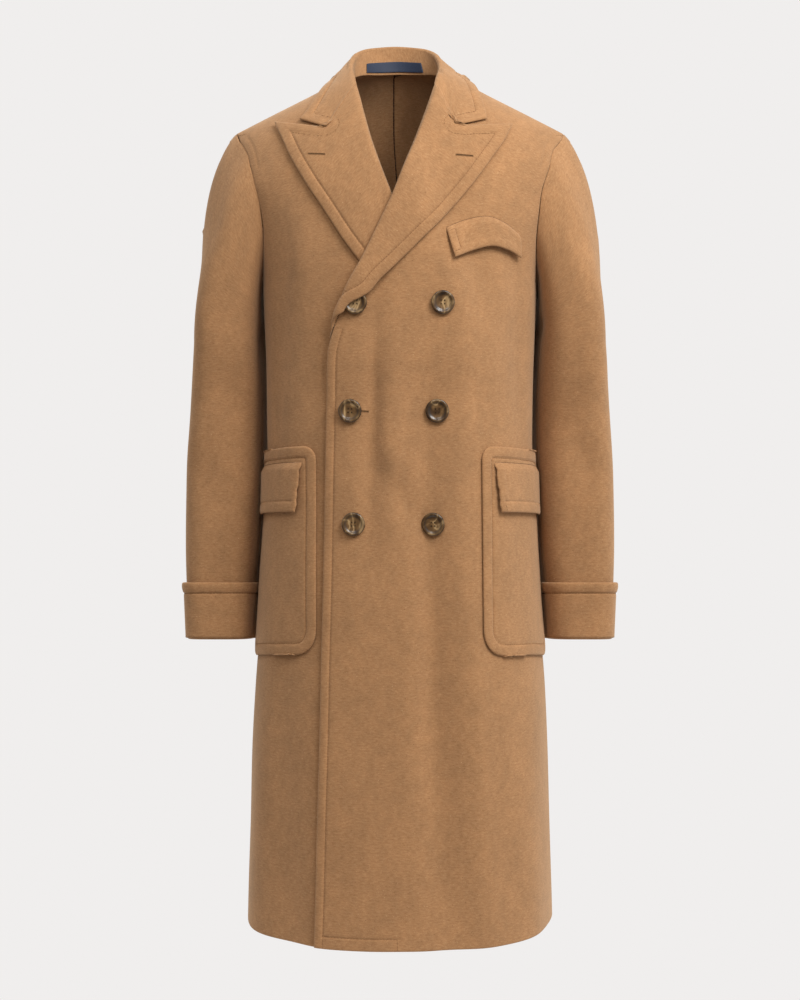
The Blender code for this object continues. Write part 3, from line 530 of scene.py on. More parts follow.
BODY_SECTIONS = (
    BodySection(-1.157, 0.2105, 0.186, 0.182, 2.50),
    BodySection(-0.950, 0.2045, 0.176, 0.172, 2.50),
    BodySection(-0.830, 0.1990, 0.170, 0.164, 2.50),
    BodySection(-0.770, 0.1945, 0.166, 0.158, 2.45),
    BodySection(-0.700, 0.1890, 0.163, 0.153, 2.45),
    BodySection(-0.550, 0.1810, 0.158, 0.146, 2.40),
    BodySection(-0.420, 0.1815, 0.154, 0.140, 2.40),
    BodySection(-0.290, 0.1860, 0.150, 0.136, 2.40),
)
SHOULDER_LINE = (
    ShoulderLine(-0.045, 0.0115),
    ShoulderLine(0.000, 0.0230),
    ShoulderLine(0.045, 0.0115),
    ShoulderLine(0.080, -0.0055),
    ShoulderLine(0.120, -0.0262),
    ShoulderLine(0.170, -0.0510),
    ShoulderLine(0.2234, -0.0777),
)
ARMHOLE = (
    Armhole(0.000, 92.0, 92.0),
    Armhole(0.045, 81.0, 102.0),
    Armhole(0.120, 72.0, 110.0),
    Armhole(0.240, 66.0, 116.5),
    Armhole(0.400, 63.0, 119.5),
    Armhole(0.560, 65.0, 117.5),
    Armhole(0.755, 74.5, 109.0),
    Armhole(0.920, 83.0, 100.0),
    Armhole(1.000, 85.5, 97.0),
)
DRAPES = (
    Drape(-64.0, -0.72, 11.0, 0.005),
    Drape(-44.0, -0.62, 9.0, -0.005),
    Drape(27.0, -0.36, 9.0, -0.007),
    Drape(52.0, -0.50, 12.0, 0.006),
    Drape(112.0, -0.60, 11.0, 0.007),
    Drape(136.0, -0.50, 10.0, -0.009),
    Drape(160.0, -0.42, 11.0, 0.007),
    Drape(-114.0, -0.55, 11.0, 0.006),
    Drape(-140.0, -0.48, 10.0, -0.008),
    Drape(-163.0, -0.44, 11.0, 0.006),
)
BODY_CREASES = (
    Crease(-13.5, -0.20, 0.17, 5.0, -0.0075, 6.0),
    Crease(-4.0, -0.22, 0.16, 5.0, 0.0040, 4.0),
    Crease(2.0, -0.32, 0.07, 7.0, -0.0045, -190.0),
    Crease(14.5, -0.58, 0.40, 7.0, -0.0095, -5.0),
    Crease(30.0, -0.66, 0.42, 7.5, 0.0105, -3.0),
    Crease(36.0, -0.06, 0.16, 6.0, -0.0026, -14.0),
    Crease(60.0, -0.08, 0.20, 7.0, -0.0040, -16.0),
    Crease(44.0, -0.52, 0.22, 7.5, 0.0030, 9.0),
    Crease(4.0, -0.62, 0.20, 6.0, 0.0020, 6.0),
    Crease(-60.0, -0.06, 0.18, 7.0, -0.0040, 14.0),
    Crease(-47.0, 0.10, 0.14, 6.0, 0.0022, 18.0),
    Crease(-52.0, -0.70, 0.22, 6.5, -0.0035, -5.0),
    Crease(122.0, 0.14, 0.20, 8.0, -0.0045, 22.0),
    Crease(-124.0, 0.10, 0.17, 7.0, -0.0040, -26.0),
    Crease(163.0, -0.16, 0.20, 8.0, -0.0030, 10.0),
    Crease(-154.0, -0.24, 0.24, 8.5, 0.0032, -8.0),
    Crease(140.0, -0.20, 0.15, 7.0, 0.0026, -20.0),
    Crease(-112.0, -0.18, 0.18, 7.0, -0.0036, 12.0),
    Crease(104.0, -0.30, 0.20, 7.0, -0.0030, -9.0),
)
RIPPLES = (
    Ripple(1.0, 7.0, 9.0, 0.0, 5.3, -13.0, 0.7),
    Ripple(0.6, 13.0, -6.0, 1.9, 3.0, 21.0, 0.0),
)
OPENING = (
    Opening(-1.157, -0.1135, 0.0960),
    Opening(-0.695, -0.1010, 0.0840),
    Opening(-0.433, -0.0952, 0.0790),
    Opening(-0.375, -0.0925, 0.0715),
    Opening(-0.350, -0.0875, 0.0680),
    Opening(-0.318, -0.0750, 0.0560),
    Opening(-0.286, -0.0608, 0.0425),
    Opening(-0.248, -0.0425, 0.0235),
    Opening(-0.207, -0.0240, 0.0035),
    Opening(-0.161, -0.0035, -0.0155),
    Opening(-0.122, 0.0120, -0.0305),
    Opening(-0.085, 0.0265, -0.0430),
    Opening(-0.037, 0.0430, -0.0555),
    Opening(-0.020, 0.0470, -0.0590),
    Opening(0.000, 0.0510, -0.0630),
)


@dataclass(frozen=True)
class CoatForm:
    """The filled-out form: an angle round the body and a level up it.

    Angles are in radians, 0 at the front and growing to the wearer's left. Level -1 is the hem, 0 the
    underarm and 1 the shoulder line.
    """

    wall: float = 0.003
    hem_height: float = -1.157
    underarm_height: float = -0.290
    shoulder_point_x: float = 0.2234
    neck_point_x: float = 0.066
    ridge_y: float = 0.012
    roundness: float = 2.15
    spread_level: float = 0.55
    back_neck_height: float = 0.010
    overlap_rise: float = 0.0048
    crossing_rise: float = 0.0110
    overlap_blend: float = 0.060
    gorge_height: float = -0.020
    ripple: float = 0.0006
    hem_lift: float = 0.008
    hem_lift_from: float = -0.80
    crossing_from: float = -0.440
    crossing_reach: float = 0.080
    overlap_clear: float = 0.020
    neck_curve: float = 0.7

    def section(self, height: Array) -> list[Array]:
        """Half width, front depth, back depth and squareness of the body at a height."""
        return [column(BODY_SECTIONS, height, "height", name) for name in BodySection._fields[1:]]

    def level_height(self, level: Array) -> Array:
        """Height of a level below the underarm."""
        return self.underarm_height + (self.underarm_height - self.hem_height) * np.minimum(level, 0.0)

    def spread(self, level: Array) -> Array:
        """How much wider the body is at a level than at the underarm."""
        wide = self.shoulder_point_x / BODY_SECTIONS[-1].half_width - 1
        return 1 + wide * ease(np.maximum(level, 0.0) / self.spread_level)

    def drape(self, angle: Array, height: Array) -> Array:
        """How far the soft drapes push the cloth out."""
        return sum(row.push(angle, height, self.hem_height) for row in DRAPES)

    def creases(self, angle: Array, level: Array) -> Array:
        """How far the creases and a faint unevenness push the cloth out."""
        uneven = self.ripple * sum(row.push(angle, level) for row in RIPPLES)
        return uneven + sum(row.push(angle, level) for row in BODY_CREASES)

    def shoulder_height(self, x: Array) -> Array:
        """Height of the shoulder line at a distance from the middle."""
        return column(SHOULDER_LINE, np.abs(x), "distance", "height")

    def point(self, angle: Array, level: Array) -> Array:
        """Points on the form."""
        angle, level = np.broadcast_arrays(np.asarray(angle, float), np.asarray(level, float))
        height = self.level_height(level)
        half, front, back, power = self.section(height)
        deep = np.where(np.cos(angle) > 0, front, back)
        across, along = np.abs(np.sin(angle)) / half, np.abs(np.cos(angle)) / deep
        radius = (across**power + along**power) ** (-1 / power)
        radius = radius + self.drape(angle, height) + self.creases(angle, level)
        x, y = radius * np.sin(angle), -radius * np.cos(angle)
        turn = np.clip(level, 0.0, 1.0) * math.pi / 2
        rise = np.sin(turn) ** (2 / self.roundness)
        depth = np.maximum(np.cos(turn), 0.0) ** (2 / self.roundness)
        x = x * self.spread(level)
        z = height + (self.shoulder_height(x) - self.underarm_height) * rise
        raised = ease((self.hem_lift_from - level) / (1 + self.hem_lift_from))
        z = z + self.hem_lift * np.sin(angle) ** 4 * raised
        return stack(x, self.ridge_y * rise + y * depth, z)

    def normal(self, angle: Array, level: Array) -> Array:
        """Outward unit normals of the form."""
        low, high = np.clip(level - NUDGE, -1, 1), np.clip(level + NUDGE, -1, 1)
        round_it = self.point(angle + NUDGE, level) - self.point(angle - NUDGE, level)
        return unit(np.cross(round_it, self.point(angle, high) - self.point(angle, low)))

    def angle_at(self, x: Array, level: Array, face: Array = -1) -> Array:
        """The angle whose point lies at x on a level, on the front (-1) or the back (1)."""
        half, front, back, power = self.section(self.level_height(level))
        x = np.clip(x / self.spread(level), -0.9999 * half, 0.9999 * half)
        deep = np.where(np.asarray(face) < 0, front, back)
        deep = deep * (1 - (np.abs(x) / half) ** power) ** (1 / power)
        return np.arctan2(x, -face * deep)

    def level_at(self, x: Array, height: Array) -> Array:
        """The level of a point of the body seen from the front at x and height."""
        share = (height - self.underarm_height) / (self.shoulder_height(x) - self.underarm_height)
        above = np.arcsin(np.clip(share, 0, 1) ** (self.roundness / 2)) * 2 / math.pi
        below = (height - self.underarm_height) / (self.underarm_height - self.hem_height)
        return np.where(height < self.underarm_height, below, above)

    def lifted(self, x: Array, height: Array, lift: Array, face: int = -1) -> tuple[Array, Array]:
        """Points over the body at x and height, this far out from the form, with their normals."""
        x, height, lift = np.broadcast_arrays(*(np.asarray(v, float) for v in (x, height, lift)))
        level = self.level_at(x, height)
        angle = self.angle_at(x, level, face)
        out = self.normal(angle, level)
        return self.point(angle, level) + out * lift[..., None], out

    def top(self, x: Array, y: Array) -> Array:
        """Height of the form's shoulders above a point."""
        face = np.where(y < self.ridge_y, -1, 1)
        low, high = np.zeros_like(x), np.ones_like(x)
        for _ in range(HALVINGS):
            level = (low + high) / 2
            outside = face * (self.point(self.angle_at(x, level, face), level)[..., 1] - y) > 0
            low, high = np.where(outside, level, low), np.where(outside, high, level)
        return self.point(self.angle_at(x, low, face), low)[..., 2]

    def opening_x(self, side: Side, height: Array) -> Array:
        """Where a front's edge or roll lies at a height."""
        return column(OPENING, height, "height", side.word + "_x")

    def overlap(self, x: Array, height: Array) -> Array:
        """How far the left front stands off the form where it lies over the right front and lapel."""
        crossing = ease((height - self.crossing_from) / self.crossing_reach)
        full = mix(self.overlap_rise, self.crossing_rise, crossing)
        under = self.opening_x(Side.RIGHT, height)
        return full * (1 - ease((x - under - self.overlap_clear) / self.overlap_blend))

    def front_lift(self, side: Side, x: Array, height: Array) -> Array:
        """How far a front, or what lies on it, stands off the form."""
        return self.overlap(x, height) if side is Side.LEFT else np.zeros_like(x)

    def armhole_angle(self, level: Array, face: str) -> Array:
        """The armhole or side seam's angle on the front or back at a level."""
        return np.radians(column(ARMHOLE, np.maximum(level, 0.0), "level", face + "_angle"))

    def back_neck_level(self) -> float:
        """The level of the neckline at the centre back."""
        return float(self.level_at(np.array(0.0), np.array(self.back_neck_height)))


# Cloth pieces


class Edge(Enum):
    """How a boundary of a piece is finished: its rounding's radius and the thickness kept there."""

    JOINED = (0.0, 1.0)
    SEAM = (0.0010, 0.5)
    GROOVE = (0.0026, 0.16)
    FOLDED = (0.0024, 0.16)

    def rounded(self, gap: Array) -> Array:
        """The share of its thickness that cloth keeps at distances from the boundary."""
        radius, least = self.value
        t = np.clip(gap / radius, 0, 1)
        return np.maximum(np.sqrt(1 - (1 - t) ** 2), least)


@dataclass(frozen=True)
class Edges:
    """The finish of a piece's four boundaries."""

    start: Edge = Edge.SEAM
    end: Edge = Edge.SEAM
    low: Edge = Edge.SEAM
    high: Edge = Edge.SEAM


def fine_steps(edge: Edge, stitch: float = 0.0) -> Array:
    """Distances in from a boundary where the cloth needs its finest columns.

    Args:
        edge: How the boundary is finished.
        stitch: How far in its topstitching runs.

    Returns:
        Rising distances that start at 0.
    """
    if edge is Edge.SEAM:
        return np.array(SEAM_STEPS)
    if edge is Edge.GROOVE:
        return np.array(ROUNDING_STEPS)
    between = np.linspace(0.0048, stitch - 0.0040, 4)
    return np.concatenate([ROUNDING_STEPS, between, stitch + np.array(STITCH_STEPS)])


def spaced(length: float, pitch: float, first: Array, last: Array) -> Array:
    """Shares of a length: fine at both ends and even between.

    Args:
        length: The whole length.
        pitch: The step between.
        first: Fine distances at the start.
        last: Fine distances at the end.

    Returns:
        Rising shares from 0 to 1.
    """
    count = max(int(round((length - first[-1] - last[-1]) / pitch)), 2)
    middle = np.linspace(first[-1], length - last[-1], count + 1)[1:-1]
    return np.concatenate([first, middle, (length - last)[::-1]]) / length


@dataclass
class Cloth:
    """One piece of cloth: a grid of points over its middle, and how thick it is at each."""

    node: str
    edges: Edges
    outer: Array
    wall: float = 0.003
    stitch: float = 0.015
    swell: float = 0.48
    sunk: float = 0.72
    stitch_width: float = 0.0014
    closed: bool = False
    normals: Array = field(init=False)
    points: Array = field(init=False)
    swelled: Array = field(init=False)
    thickness: Array = field(init=False)

    THICKEST = 1.8
    WALK_STEP = 0.012

    def __post_init__(self) -> None:
        """Works out the middle surface and the thickness over it."""
        self.normals = self.grid_normals(self.outer)
        self.points = self.outer - self.normals * self.wall / 2
        self.swelled = np.ones(self.outer.shape[:2])
        self.thickness = np.ones(self.outer.shape[:2])
        for edge, line in self.boundaries():
            if edge is Edge.JOINED:
                continue
            gap = self.distance(line)
            if edge is Edge.FOLDED:
                self.swelled = np.minimum(self.swelled, gap)
            self.thickness *= edge.rounded(gap)
        self.press(self.swelled, self.stitch)
        self.thickness *= 1 + self.swell * band(self.swelled, self.stitch)

    @staticmethod
    def grid_normals(points: Array) -> Array:
        """Normals of a grid of points."""
        return unit(np.cross(np.gradient(points, axis=1), np.gradient(points, axis=0)))

    def boundaries(self) -> list[tuple[Edge, Array]]:
        """Each boundary's finish and its line of points."""
        return [
            (self.edges.start, self.points[:, 0]),
            (self.edges.end, self.points[:, -1]),
            (self.edges.low, self.points[0]),
            (self.edges.high, self.points[-1]),
        ]

    def distance(self, line: Array) -> Array:
        """Distance from every point of the grid to a line of points."""
        flat = self.points.reshape(-1, 3)
        best = np.full(len(flat), np.inf)
        for a, b in zip(line[:-1], line[1:]):
            ab = b - a
            t = np.clip((flat - a) @ ab / max(ab @ ab, 1e-14), 0, 1)
            best = np.minimum(best, ((a + t[:, None] * ab - flat) ** 2).sum(1))
        return np.sqrt(best).reshape(self.points.shape[:2])

    def press(self, gap: Array, at: float, share: Array | float = 1.0) -> None:
        """Presses a stitched groove in, where a distance field has a value."""
        self.thickness *= 1 - self.sunk * share * hump((gap - at) / self.stitch_width)

    def contour(self, gap: Array, at: float, start: Sequence[float]) -> tuple[Array, Array]:
        """The line where a field over the grid crosses a value.

        Args:
            gap: The field.
            at: The value.
            start: A point near the line's beginning.

        Returns:
            Points on the cloth's face in walking order, and the normals there.
        """
        found = []
        face = self.points + self.normals * (self.wall * self.thickness / 2)[..., None]
        for axis in (0, 1):
            low = [slice(None)] * 2
            high = [slice(None)] * 2
            low[axis], high[axis] = slice(None, -1), slice(1, None)
            a, b = gap[tuple(low)], gap[tuple(high)]
            hit = (a - at) * (b - at) < 0
            t = ((at - a) / np.where(hit, b - a, 1.0))[hit][:, None]
            place = mix(face[tuple(low)][hit], face[tuple(high)][hit], t)
            out = mix(self.normals[tuple(low)][hit], self.normals[tuple(high)][hit], t)
            found.append(np.concatenate([place, out], axis=1))
        left = np.concatenate(found)
        here = int(np.argmin(((left[:, :3] - np.asarray(start)) ** 2).sum(1)))
        walk = [here]
        free = np.ones(len(left), bool)
        free[here] = False
        while free.any():
            away = np.where(free, ((left[:, :3] - left[here, :3]) ** 2).sum(1), np.inf)
            here = int(np.argmin(away))
            if away[here] > self.WALK_STEP**2:
                break
            free[here] = False
            walk.append(here)
        return left[walk, :3], unit(left[walk, 3:])

    def build(self, finish: bpy.types.Material) -> bpy.types.Object:
        """Makes the piece: a grid laid over its middle with a wall of its own thickness.

        Args:
            finish: The cloth's material.

        Returns:
            The object, in the scene.
        """
        rows, cols = self.points.shape[:2]
        bm = bmesh.new()
        bmesh.ops.create_grid(bm, x_segments=cols - 1, y_segments=rows - 1, size=0.5)
        weight = bm.verts.layers.deform.verify()
        share = np.clip(self.thickness / self.THICKEST, 0.0, 1.0)
        row_of, col_of = [], []
        for vert in bm.verts:
            i = round((vert.co.y + 0.5) * (rows - 1))
            j = round((vert.co.x + 0.5) * (cols - 1))
            row_of.append(i)
            col_of.append(j)
            vert.co = self.points[i, j]
            vert[weight][0] = share[i, j]
        mesh = bpy.data.meshes.new(self.node + "_cloth")
        bm.to_mesh(mesh)
        bm.free()
        corner = np.empty(len(mesh.loops), np.int32)
        mesh.loops.foreach_get("vertex_index", corner)
        flat = self.unrolled()[np.array(row_of), np.array(col_of)][corner]
        mesh.uv_layers.new(name="cut").data.foreach_set("uv", flat.astype(np.float32).ravel())
        if self.closed:
            bm = bmesh.new()
            bm.from_mesh(mesh)
            bmesh.ops.remove_doubles(bm, verts=bm.verts, dist=1e-6)
            bm.to_mesh(mesh)
            bm.free()
        mesh.shade_smooth()
        mesh.materials.append(finish)
        piece = linked(mesh.name, mesh)
        piece.vertex_groups.new(name="thickness")
        wall = piece.modifiers.new("wall", "SOLIDIFY")
        wall.thickness = self.wall * self.THICKEST
        wall.offset = 0.0
        wall.vertex_group = "thickness"
        wall.thickness_vertex_group = 0.0
        wall.use_quality_normals = True
        return piece

    def unrolled(self) -> Array:
        """The grid laid flat, in metres across and along, for the weave to follow."""
        across = np.linalg.norm(np.diff(self.points, axis=1), axis=-1)
        along = np.linalg.norm(np.diff(self.points, axis=0), axis=-1)
        u = np.pad(np.cumsum(across, axis=1), ((0, 0), (1, 0)))
        v = np.pad(np.cumsum(along, axis=0), ((1, 0), (0, 0)))
        return np.stack([u - u[:, -1:] / 2, np.broadcast_to(v.mean(1)[:, None], v.shape)], axis=-1)

    def cut(self) -> tuple[tuple[float, float], float]:
        """The flat width, length and area of what shows of the piece."""
        across = np.linalg.norm(np.diff(self.points, axis=1), axis=-1).sum(1)
        along = np.linalg.norm(np.diff(self.points, axis=0), axis=-1).sum(0)
        size = (float(across.max()), float(along.max()))
        steps = np.cross(np.diff(self.points, axis=1)[:-1], np.diff(self.points, axis=0)[:, :-1])
        area = float(np.linalg.norm(steps, axis=-1).sum())
        return size, min(max(area, 0.31 * size[0] * size[1]), size[0] * size[1])


def lay_out(place: Place, along: Array, first: Array, last: Array, pitch: float) -> Array:
    """A grid of points on a placed surface, with columns at even distances along each row.

    Args:
        place: The surface, from shares across and values along.
        along: The rows' values.
        first: Fine distances at the rows' start.
        last: Fine distances at the rows' end.
        pitch: The step between.

    Returns:
        Points by row and column.
    """
    samples = 320
    t = np.linspace(0, 1, samples)
    dense = place(np.tile(t, len(along)), np.repeat(along, samples)).reshape(len(along), samples, 3)
    run = np.pad(np.cumsum(np.linalg.norm(np.diff(dense, axis=1), axis=-1), axis=1), ((0, 0), (1, 0)))
    length = float(np.median(run[:, -1]))
    count = max(int(round((length - first[-1] - last[-1]) / pitch)), 2)
    at = []
    for row in run:
        fit = min(1.0, 0.8 * row[-1] / (first[-1] + last[-1]))
        middle = np.linspace(first[-1] * fit, row[-1] - last[-1] * fit, count + 1)[1:-1]
        where = np.concatenate([first * fit, middle, row[-1] - last[::-1] * fit])
        at.append(np.interp(where, row, t))
    at = np.array(at)
    return place(at.ravel(), np.repeat(along, at.shape[1])).reshape(*at.shape, 3)


def mirrored(place: Place) -> Place:
    """The same cloth on the wearer's right, running the other way so that it still faces out."""
    return lambda a, b: place(1 - a, b) * np.array((-1.0, 1.0, 1.0))


# Sewing


@dataclass(frozen=True)
class Stitch:
    """One thread stitch: a short rounded bar."""

    length: float = 0.0034
    pitch: float = 0.0044
    radius: float = 0.00042
    sides: int = 5
    begin: float = 0.001

    def bars(self, starts: Array, ends: Array, normals: Array) -> tuple[Array, list[list[int]]]:
        """Rounded bars between pairs of points.

        Args:
            starts: Where each bar begins.
            ends: Where it ends.
            normals: The way up at each.

        Returns:
            All the bars' points and faces.
        """
        rings = ((0.0, 0.35), (0.16, 1.0), (0.84, 1.0), (1.0, 0.35))
        run = ends - starts
        up = unit(normals - unit(run) * (normals * unit(run)).sum(1)[:, None])
        aside = np.cross(unit(run), up)
        turns = np.arange(self.sides) * 2 * math.pi / self.sides
        points = []
        for share, thick in rings:
            for turn in turns:
                away = math.cos(turn) * up + math.sin(turn) * aside
                points.append(starts + run * share + away * self.radius * thick)
        points = np.stack(points, axis=1)
        faces = [list(range(self.sides))[::-1], list(range(3 * self.sides, 4 * self.sides))]
        for ring in range(3):
            for k in range(self.sides):
                a, b = ring * self.sides + k, ring * self.sides + (k + 1) % self.sides
                faces.append([a, b, b + self.sides, a + self.sides])
        count = points.shape[1]
        every = [[i * count + k for k in face] for i in range(len(points)) for face in faces]
        return points.reshape(-1, 3), every

    def along(self, line: Array, normals: Array) -> tuple[Array, Array, Array]:
        """Evenly spaced stitches along a line.

        Args:
            line: The line's points.
            normals: The way up at each.

        Returns:
            Each stitch's start, end and way up.
        """
        run = run_along(line)
        begin = np.arange(self.begin, run[-1] - self.length, self.pitch)
        ends = read_line(line, run, begin + self.length)
        return read_line(line, run, begin), ends, read_line(normals, run, begin)


class Sewing:
    """Gathers stitches and makes them one joined piece."""

    def __init__(self, stitch: Stitch = Stitch()) -> None:
        """Starts with no stitches."""
        self.stitch = stitch
        self.starts: list[Array] = []
        self.ends: list[Array] = []
        self.ups: list[Array] = []

    def bar(self, starts: Array, ends: Array, ups: Array) -> None:
        """Adds single bars of thread."""
        self.starts.append(np.atleast_2d(starts))
        self.ends.append(np.atleast_2d(ends))
        self.ups.append(np.atleast_2d(ups))

    def line(self, points: Array, normals: Array) -> None:
        """Adds a row of stitches along a line on the cloth's face."""
        self.bar(*self.stitch.along(points, normals))

    @classmethod
    def beside(cls, cloth: Cloth, start: Sequence[float]) -> "Sewing":
        """Topstitching in a piece's pressed groove, from a point near its beginning."""
        made = cls()
        made.line(*cloth.contour(cloth.swelled, cloth.stitch, start))
        return made

    def build(self, name: str, finish: bpy.types.Material) -> bpy.types.Object:
        """Makes the gathered stitches one piece."""
        every = [np.concatenate(part) for part in (self.starts, self.ends, self.ups)]
        points, faces = self.stitch.bars(*every)
        mesh = bpy.data.meshes.new(name)
        mesh.from_pydata(points.tolist(), [], faces)
        mesh.shade_smooth()
        mesh.materials.append(finish)
        return linked(name, mesh)


class Workroom:
    """Puts finished pieces on the frame and keeps the log."""

    def __init__(self, finishes: Finishes) -> None:
        """Keeps the finishes that the pieces share."""
        self.finishes = finishes

    def fit(self, piece: bpy.types.Object, slot: Slot, *nodes: str) -> bpy.types.Object:
        """Rides a piece on the coat and hides any CAD nodes it stands for."""
        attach(piece, BODY)
        if nodes:
            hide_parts(*nodes)
        LOG.info("%s: %d faces", piece.name, len(piece.data.polygons))
        return piece

    def cloth(
        self,
        cloth: Cloth,
        held: Held,
        rests_on: Sequence[str] = (),
        sewing: Sewing | None = None,
        slot: Slot = Slot.CLOTH,
    ) -> None:
        """Makes a cloth piece with its stitching and states its cut.

        Args:
            cloth: The piece.
            held: Not used.
            rests_on: Not used.
            sewing: Its topstitching.
            slot: Its material slot.
        """
        finish, thread = self.finishes.woven[slot]
        piece = self.fit(cloth.build(finish), slot, cloth.node)
        if sewing is not None:
            self.fit(sewing.build(cloth.node + "_stitching", thread), slot)
        size, area = cloth.cut()
        LOG.info("%s: cut %.3f x %.3f m, %.3f m2", cloth.node, *size, area)

    def dark_line(self, name: str, points: Array, normals: Array, stitch: Stitch) -> None:
        """Draws a seam's painted shadow: a near-black line of bars where the seam lies in shade."""
        sewing = Sewing(stitch)
        sewing.line(points, normals)
        self.fit(sewing.build(name, self.finishes.slit), Slot.CLOTH)


# Body panels


@dataclass
class BodyPanels:
    """Both fronts and both halves of the back."""

    form: CoatForm
    room: Workroom
    front_stitch: float = 0.0125
    hem_stitch: float = 0.0165
    hem_stitch_reach: float = 0.116
    shoulder_stitch: float = 0.0125
    shoulder_stitch_low: float = -0.128
    roll_gap: float = 0.0006
    pitch: float = 0.0055
    break_height: float = -0.335
    break_over: float = 0.004
    break_ease: float = 0.020
    corner_gap: float = 0.002
    corner_ease: float = 0.003
    hem_ease: float = 0.004
    stitch_slack: float = 0.001
    back_swell: float = 0.10
    measured_angle: float = 28.0
    measured_steps: int = 600
    buttonhole_length: float = 0.030
    front_swell: float = 0.70
    front_sunk: float = 0.62
    shoulder_stitch_high: float = -0.080
    seam_drift: float = 0.054
    drift_from: float = 0.1
    drift_reach: float = 0.4
    # Bars of the painted shadow line inside the back's centre seam, and how deep it sits.
    inner_seam: Stitch = Stitch(0.0060, 0.0054, 0.0009)
    inner_seam_depth: float = 0.0010
    buttonhole: tuple[float, float] = (-0.0560, -0.4470)

    def front_inner_angle(self, side: Side, level: Array) -> Array:
        """The angle of a front's edge, roll or neckline at a level."""
        form = self.form
        gorge_x = form.opening_x(side, form.gorge_height)
        gorge_level = form.level_at(gorge_x, np.array(form.gorge_height))
        x = np.full_like(level, gorge_x)
        for _ in range(SETTLING_ROUNDS):
            x = form.opening_x(side, form.point(form.angle_at(x, level), level)[..., 2])
        share = np.clip((level - gorge_level) / (1 - gorge_level), 0, 1) ** form.neck_curve
        neck_x = side.value * form.neck_point_x
        x = np.where(level > gorge_level, mix(gorge_x, neck_x, share), x)
        return form.angle_at(x, level)

    def front_place(self, side: Side) -> Place:
        """A front's outer face, by share across and level."""
        form, sign = self.form, side.value

        def place(across: Array, levels: Array) -> Array:
            """The front's points at shares across and levels."""
            inner = self.front_inner_angle(side, levels)
            inner = inner + sign * self.roll_gap / BODY_SECTIONS[-1].front_depth
            outer = sign * form.armhole_angle(levels, "front")
            angle = mix(inner, outer, across) if sign > 0 else mix(outer, inner, across)
            points = form.point(angle, levels)
            lift = form.front_lift(side, points[:, 0], points[:, 2])
            return points + form.normal(angle, levels) * lift[:, None]

        return place

    def back_place(self, side: Side) -> Place:
        """One half of the back, between its side seam and the centre seam."""
        form = self.form

        def place(across: Array, levels: Array) -> Array:
            """The half back's points at shares across and levels."""
            neck_level = form.back_neck_level()
            share = np.clip((levels - neck_level) / (1 - neck_level), 0, 1)
            neck = form.angle_at(form.neck_point_x * np.sqrt(share), levels, face=1)
            drift = self.seam_drift * ease((levels - self.drift_from) / self.drift_reach) * side.value
            inner = np.where(levels > neck_level, neck, math.pi + drift)
            outer = form.armhole_angle(levels, "back")
            angle = mix(outer, inner, across) if side is Side.LEFT else mix(-inner, -outer, across)
            return form.point(angle, levels)

        return place

    def levels(self) -> Array:
        """Rows from the hem to the shoulder, even along the cloth and fine where it is sewn."""
        form = self.form
        length = form.underarm_height - form.hem_height
        below = -1 + spaced(length, self.pitch, fine_steps(Edge.FOLDED, self.hem_stitch), np.zeros(1))
        t = np.linspace(0, 1, self.measured_steps)
        line = form.point(np.radians(self.measured_angle), t)
        run = run_along(line)
        steps = spaced(run[-1], self.pitch, np.zeros(1), np.array((0.0, 0.0003, 0.001, 0.003)))
        above = np.interp(steps * run[-1], run, t)
        return np.minimum(np.concatenate([below[:-1], above]), 1 - NUDGE)

    def front(self, side: Side) -> Cloth:
        """One front with its swelled edge and stitched hem facing."""
        first, last = fine_steps(Edge.FOLDED, self.front_stitch), fine_steps(Edge.SEAM)
        edges = Edges(start=Edge.JOINED, low=Edge.FOLDED)
        if side is Side.RIGHT:
            first, last = last, first
            edges = Edges(end=Edge.JOINED, low=Edge.FOLDED)
        grid = lay_out(self.front_place(side), self.levels(), first, last, self.pitch)
        cloth = Cloth(f"front_{side.word}", edges, grid, stitch=self.front_stitch, swell=0.0, sunk=0.0)
        cloth.sunk = self.front_sunk
        edge = cloth.points[:, 0 if side is Side.LEFT else -1]
        hem = cloth.distance(cloth.points[0])
        gap = cloth.distance(edge[edge[:, 2] < self.break_height])
        below = ease((self.break_height + self.break_over - cloth.points[..., 2]) / self.break_ease)
        cloth.thickness *= mix(1.0, Edge.FOLDED.rounded(gap), below)
        cloth.thickness *= 1 + self.front_swell * band(gap, self.front_stitch) * below
        above = ease((hem - self.hem_stitch + self.corner_gap) / self.corner_ease)
        cloth.press(gap, self.front_stitch, below * above)
        facing = (gap < self.hem_stitch_reach) & (gap > self.front_stitch - self.stitch_slack)
        cloth.press(hem, self.hem_stitch, np.where(facing, 1.0, 0.0))
        end = (hem < self.hem_stitch) * ease(hem / self.hem_ease)
        cloth.press(gap, self.hem_stitch_reach, end)
        cloth.press(self.shoulder_gap(cloth, side), self.shoulder_stitch)
        cloth.swelled = gap
        return cloth

    def shoulder_gap(self, cloth: Cloth, side: Side) -> Array:
        """Distances in from a front's armhole, near the shoulder only."""
        armhole = cloth.points[:, -1 if side is Side.LEFT else 0]
        gap = cloth.distance(armhole[armhole[:, 2] > 2 * self.shoulder_stitch_low])
        height = cloth.points[..., 2]
        return np.where((height > self.shoulder_stitch_low) & (height < self.shoulder_stitch_high), gap, 1.0)

